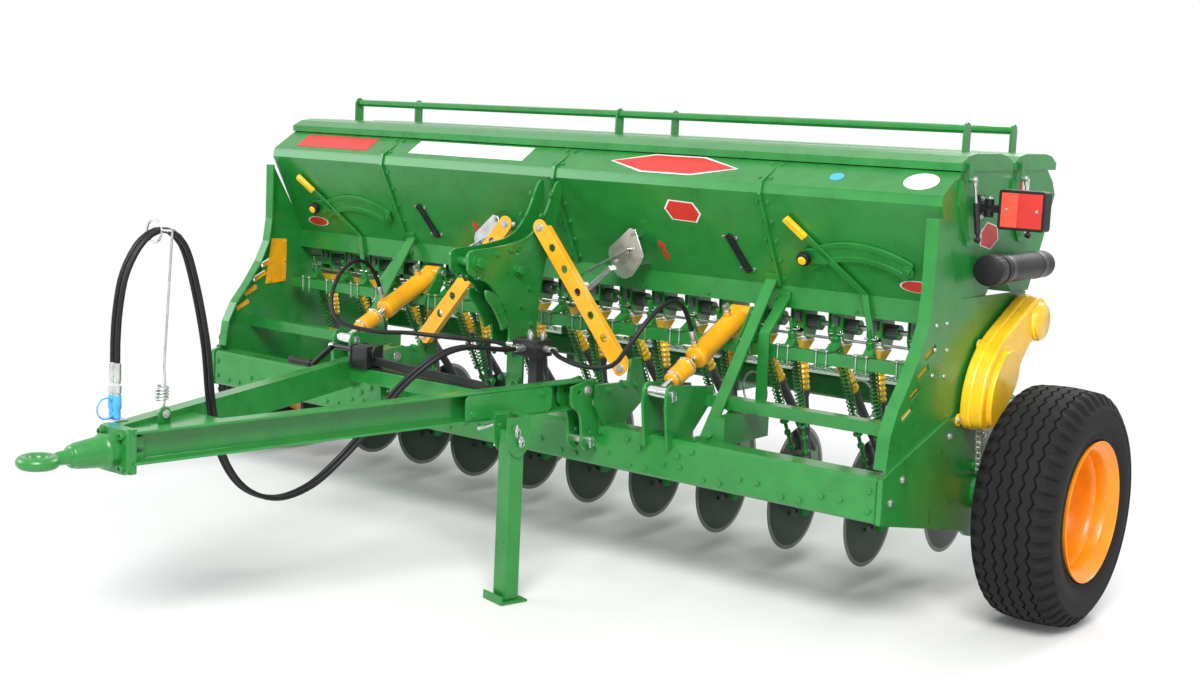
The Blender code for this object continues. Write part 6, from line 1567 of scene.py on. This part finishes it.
for y, z in ((0.441, 0.592), (0.130, 0.500), (0.060, 0.440), (0.700, 0.560)):
    bolt(steel, (SHIELD_FACE, y, z), (1, 0, 0), 0.0090)
piece("guard_tabs", tabs, yellow, edge=0.0010)
piece("end_rivets", steel, zinc, edge=0.0005)

# %% Yellow wear plates inside the side plates
wear, rivets = bmesh.new(), bmesh.new()
for side in (-1, 1):
    side_plate(
        wear, [(0.270, 0.780), (0.384, 0.786), (0.386, 0.968), (0.300, 0.973)],
        (side * 1.5088, side * 1.5118)
    )
    for y, z in (
        (0.292, 0.795), (0.372, 0.799), (0.296, 0.876), (0.374, 0.878), (0.312, 0.958), (0.374, 0.955)
    ):
        bolt(rivets, (side * 1.5088, y, z), (-side, 0, 0), 0.0060, washer=False)
    lean = Vector((0, 1, 0.45)).normalized() * 0.034
    for i, y in enumerate((0.147, 0.188, 0.241, 0.286)):
        middle = Vector((side * 1.5100, y, 0.700 + i * 0.058))
        strip(wear, middle - lean, middle + lean, 0.004, 0.019)
piece("wear_plates", wear, amber, edge=0.0008)
piece("wear_rivets", rivets, amber)

# %% Chain and sprocket
chain, sprocket = bmesh.new(), bmesh.new()
LINK_COUNT, LINK_PITCH, CHAIN_LEAN, CHAIN_X = 10, 0.0190, 0.0031, 1.575
TOOTH_COUNT, SPROCKET_Y, SPROCKET_Z = 16, 0.640, 0.470
TOOTH = ((0.10, 0.0430), (0.30, 0.0530), (0.45, 0.0530), (0.65, 0.0430))
lean = Vector((0, CHAIN_LEAN, -LINK_PITCH)) * 0.62
for i in range(LINK_COUNT):
    spot = Vector((CHAIN_X, 0.548 + i * CHAIN_LEAN, 0.640 - i * LINK_PITCH * 0.98))
    half = 0.0075 if i % 2 else 0.0050
    for way in (-half, half):
        link = spot + Vector((way, 0, 0))
        strip(chain, link - lean, link + lean, 0.0022, 0.0125)
    cross_bar(chain, spot, 0.0085, 0.0042, 12)
teeth = []
for i in range(TOOTH_COUNT):
    for share, radius in TOOTH:
        angle = tau * (i + share) / TOOTH_COUNT
        teeth.append((SPROCKET_Y + radius * cos(angle), SPROCKET_Z + radius * sin(angle)))
side_plate(sprocket, teeth, (CHAIN_X - 0.004, CHAIN_X + 0.004))
bar(sprocket, (SHIELD_FACE, SPROCKET_Y, SPROCKET_Z), (1.588, SPROCKET_Y, SPROCKET_Z), 0.0200, 24)
piece("drive_chain", chain, zinc)
piece("chain_sprocket", sprocket, green, edge=0.0006)
print("chain links:", LINK_COUNT)

# %% Document tube
paper, straps = bmesh.new(), bmesh.new()
paper_at = (1.5723, 0, 1.118)
lathe(
    paper, [(0, 0.585), (0.0450, 0.585), (0.0450, 0.969), (0.0440, 0.976), (0.0400, 0.980), (0, 0.980)],
    paper_at, "Y", 40
)
lathe(
    paper,
    [
        (0, 0.5300), (0.0430, 0.5300), (0.0470, 0.5325), (0.0490, 0.5370), (0.0490, 0.5900),
        (0.0475, 0.5920), (0, 0.5920)
    ],
    paper_at, "Y", 40
)
lathe(
    paper,
    [(0, 0.6020), (0.0480, 0.6020), (0.0495, 0.6040), (0.0495, 0.6180), (0.0480, 0.6200), (0, 0.6200)],
    paper_at, "Y", 40
)
for i in range(20):
    angle = tau * i / 20
    spot = Vector((paper_at[0] + 0.0488 * cos(angle), 0.538, paper_at[2] + 0.0488 * sin(angle)))
    bar(paper, spot, spot + Vector((0, 0.050, 0)), 0.0016, 6)
for y in (0.635, 0.890):
    lathe(straps, [(0.0452, y), (0.0462, y), (0.0462, y + 0.030), (0.0452, y + 0.030)], paper_at, "Y", 40)
    block(straps, (1.5123, 1.5300), (y, y + 0.030), (1.106, 1.130))
bar(straps, (paper_at[0], 0.5270, 1.118), (paper_at[0], 0.5310, 1.118), 0.0050, 12)
piece("paper_tube", paper, black_plastic, replaces=["document_tube"], edge=0.0010)
piece("paper_straps", straps, black_paint, edge=0.0006)

# %% Tail lamps
for side, hand in HANDS:
    frame_shape, lens, bright_lens, screw = bmesh.new(), bmesh.new(), bmesh.new(), bmesh.new()
    near, far_x = 1.5853, 1.7353
    corners = [(near + 0.010, 1.260), (far_x - 0.010, 1.260), (far_x - 0.010, 1.365), (near + 0.010, 1.365)]
    rounded = []
    for corner, start in zip(corners, (180, 270, 0, 90)):
        rounded += arc(corner, 0.010, start, start + 90, 5)
    window = [
        (near + 0.0085, 1.2585), (far_x - 0.0085, 1.2585), (far_x - 0.0085, 1.3665), (near + 0.0085, 1.3665)
    ]

    def mirror(u, v, w):
        return Vector((side * u, w, v))

    pierced(frame_shape, rounded, [window], 0.548, 0.556, mirror)
    plate(frame_shape, rounded, 0.5555, 0.600, mirror)
    block(frame_shape, tuple(sorted((side * 1.5123, side * (near + 0.006)))), (0.562, 0.586), (1.300, 1.324))
    block(frame_shape, tuple(sorted((side * 1.5123, side * 1.5200))), (0.552, 0.596), (1.272, 1.352))
    for low_z in (1.284, 1.318):
        bar(frame_shape, (side * 1.545, 0.574, low_z), (side * 1.545, 0.574, low_z + 0.024), 0.0150, 24)
    bolt(screw, (side * 1.545, 0.574, 1.342), (0, 0, 1), 0.0080)
    for low_z in (1.282, 1.342):
        bolt(screw, (side * 1.5200, 0.574, low_z), (side, 0, 0), 0.0065)
    split = near + 0.062
    for shape, left_x, right_x, depth in (
        (bright_lens, near + 0.0087, split, 0.5500), (lens, split + 0.0006, far_x - 0.0087, 0.5494)
    ):
        plate(
            shape, [(left_x, 1.2587), (right_x, 1.2587), (right_x, 1.3663), (left_x, 1.3663)], depth,
            0.5557, mirror
        )
    for x in (near + 0.026, far_x - 0.026):
        bar(screw, (side * x, 0.5475, 1.3125), (side * x, 0.5520, 1.3125), 0.0052, 16)
    piece(f"lamp_frame_{hand}", frame_shape, black_plastic, replaces=[f"tail_lamp_{hand}"], edge=0.0012)
    piece(f"lamp_lens_{hand}", lens, red_plate, edge=0.0004)
    piece(f"lamp_marker_{hand}", bright_lens, bright_red, edge=0.0004)
    piece(f"lamp_screws_{hand}", screw, zinc, edge=0.0004)

# %% Gas struts
STRUT_EYE = [(0, -0.0055), (0.0095, -0.0050), (0.0105, 0), (0.0095, 0.0050), (0, 0.0055)]
for number, step in ((1, 0.0), (2, 0.398)):
    foot, tip = Vector((1.540, 0.518 + step, 1.213)), Vector((1.540, 0.463 + step, 1.402))
    lay, length = line_up(foot, tip)
    tube_end = length * 0.62
    tube, rod = bmesh.new(), bmesh.new()
    lathe(tube, [(0, 0.006), (0.0060, 0.006), (0.0060, 0.018), (0.0096, 0.022), (0.0098, tube_end - 0.006),
                 (0.0080, tube_end), (0, tube_end)], foot, lay, 28)
    bar(tube, foot + Vector((-0.0115, 0, 0)), foot + Vector((0.0075, 0, 0)), 0.0060, 20)
    lathe(tube, STRUT_EYE, foot, "X", 24)
    drum(rod, foot, tube_end + 0.0002, length - 0.010, 0.0048, lay, 20)
    drum(rod, foot, length - 0.020, length - 0.006, 0.0075, lay, 20)
    bar(rod, tip + Vector((-0.0110, 0, 0)), tip + Vector((0.0075, 0, 0)), 0.0060, 20)
    lathe(rod, STRUT_EYE, tip, "X", 24)
    piece(f"strut_tube_{number}", tube, black_paint, body=f"spring_tube_{number}",
          replaces=[f"spring_tube_{number}"], edge=0.0004)
    piece(f"strut_rod_{number}", rod, zinc, body=f"spring_rod_{number}",
          replaces=[f"spring_rod_{number}"], edge=0.0004)
print("gas struts: 2")

# %% [markdown]
# ## The back
# The footboard is treadplate: rows of short raised bars, turned by turns, that keep a boot from slipping.
# One small bar is made once and copied into the board's pattern. Bolts hold the board to its arms, and a
# latch keeps each lid shut.

# %% Footboard tread
tread, bolts = bmesh.new(), bmesh.new()
TREAD_ROWS, TREAD_COLUMNS = 9, 112
for turn_way in (0, 1):
    lug_shape = bmesh.new()
    slant = Matrix.Rotation(radians(45 if turn_way else -45), 4, "Z")
    lay = Matrix.Translation((0, 0, 0.590)) @ slant
    bmesh.ops.create_cube(lug_shape, size=1, matrix=lay @ Matrix.Diagonal((0.020, 0.0050, 0.0030, 1)))
    places = []
    for row in range(TREAD_ROWS):
        for i in range(TREAD_COLUMNS):
            if (i + row) % 2 == turn_way:
                places.append((-1.388 + i * 0.025, 1.165 + row * 0.0262, 0.0008))
    repeat(tread, lug_shape, places)
piece("tread_bars", tread, green)
for x in (-1.2005, -0.4007, 0.4007, 1.2005):
    for y in (1.185, 1.355):
        bolt(bolts, (x, y, 0.5905), (0, 0, 1), 0.0080)
    for z in (0.585, 0.615):
        for way in (-0.018, 0.018):
            bolt(bolts, (x + way, 1.010, z), (0, 1, 0), 0.0075)
piece("back_bolts", bolts, green, edge=0.0006)
latches = bmesh.new()
for x in (-0.900, 0.0, 0.900):
    block(latches, (x - 0.016, x + 0.016), (1.1735, 1.1765), (1.418, 1.462))
    cross_bar(latches, (x, 1.1780, 1.424), 0.020, 0.0042)
piece("lid_latches", latches, zinc, body="lid_rear", edge=0.0008)
print("tread bars:", TREAD_ROWS * TREAD_COLUMNS)

# %% Wire rings over the drive shaft
rings = bmesh.new()
for x, z in ((1.135, 0.633), (0.715, 0.607)):
    wire_ring(rings, (x, 0.600, z), 0.065, 0.0035, facing((0.35, 1, 0.1)))
piece("wire_rings", rings, zinc)
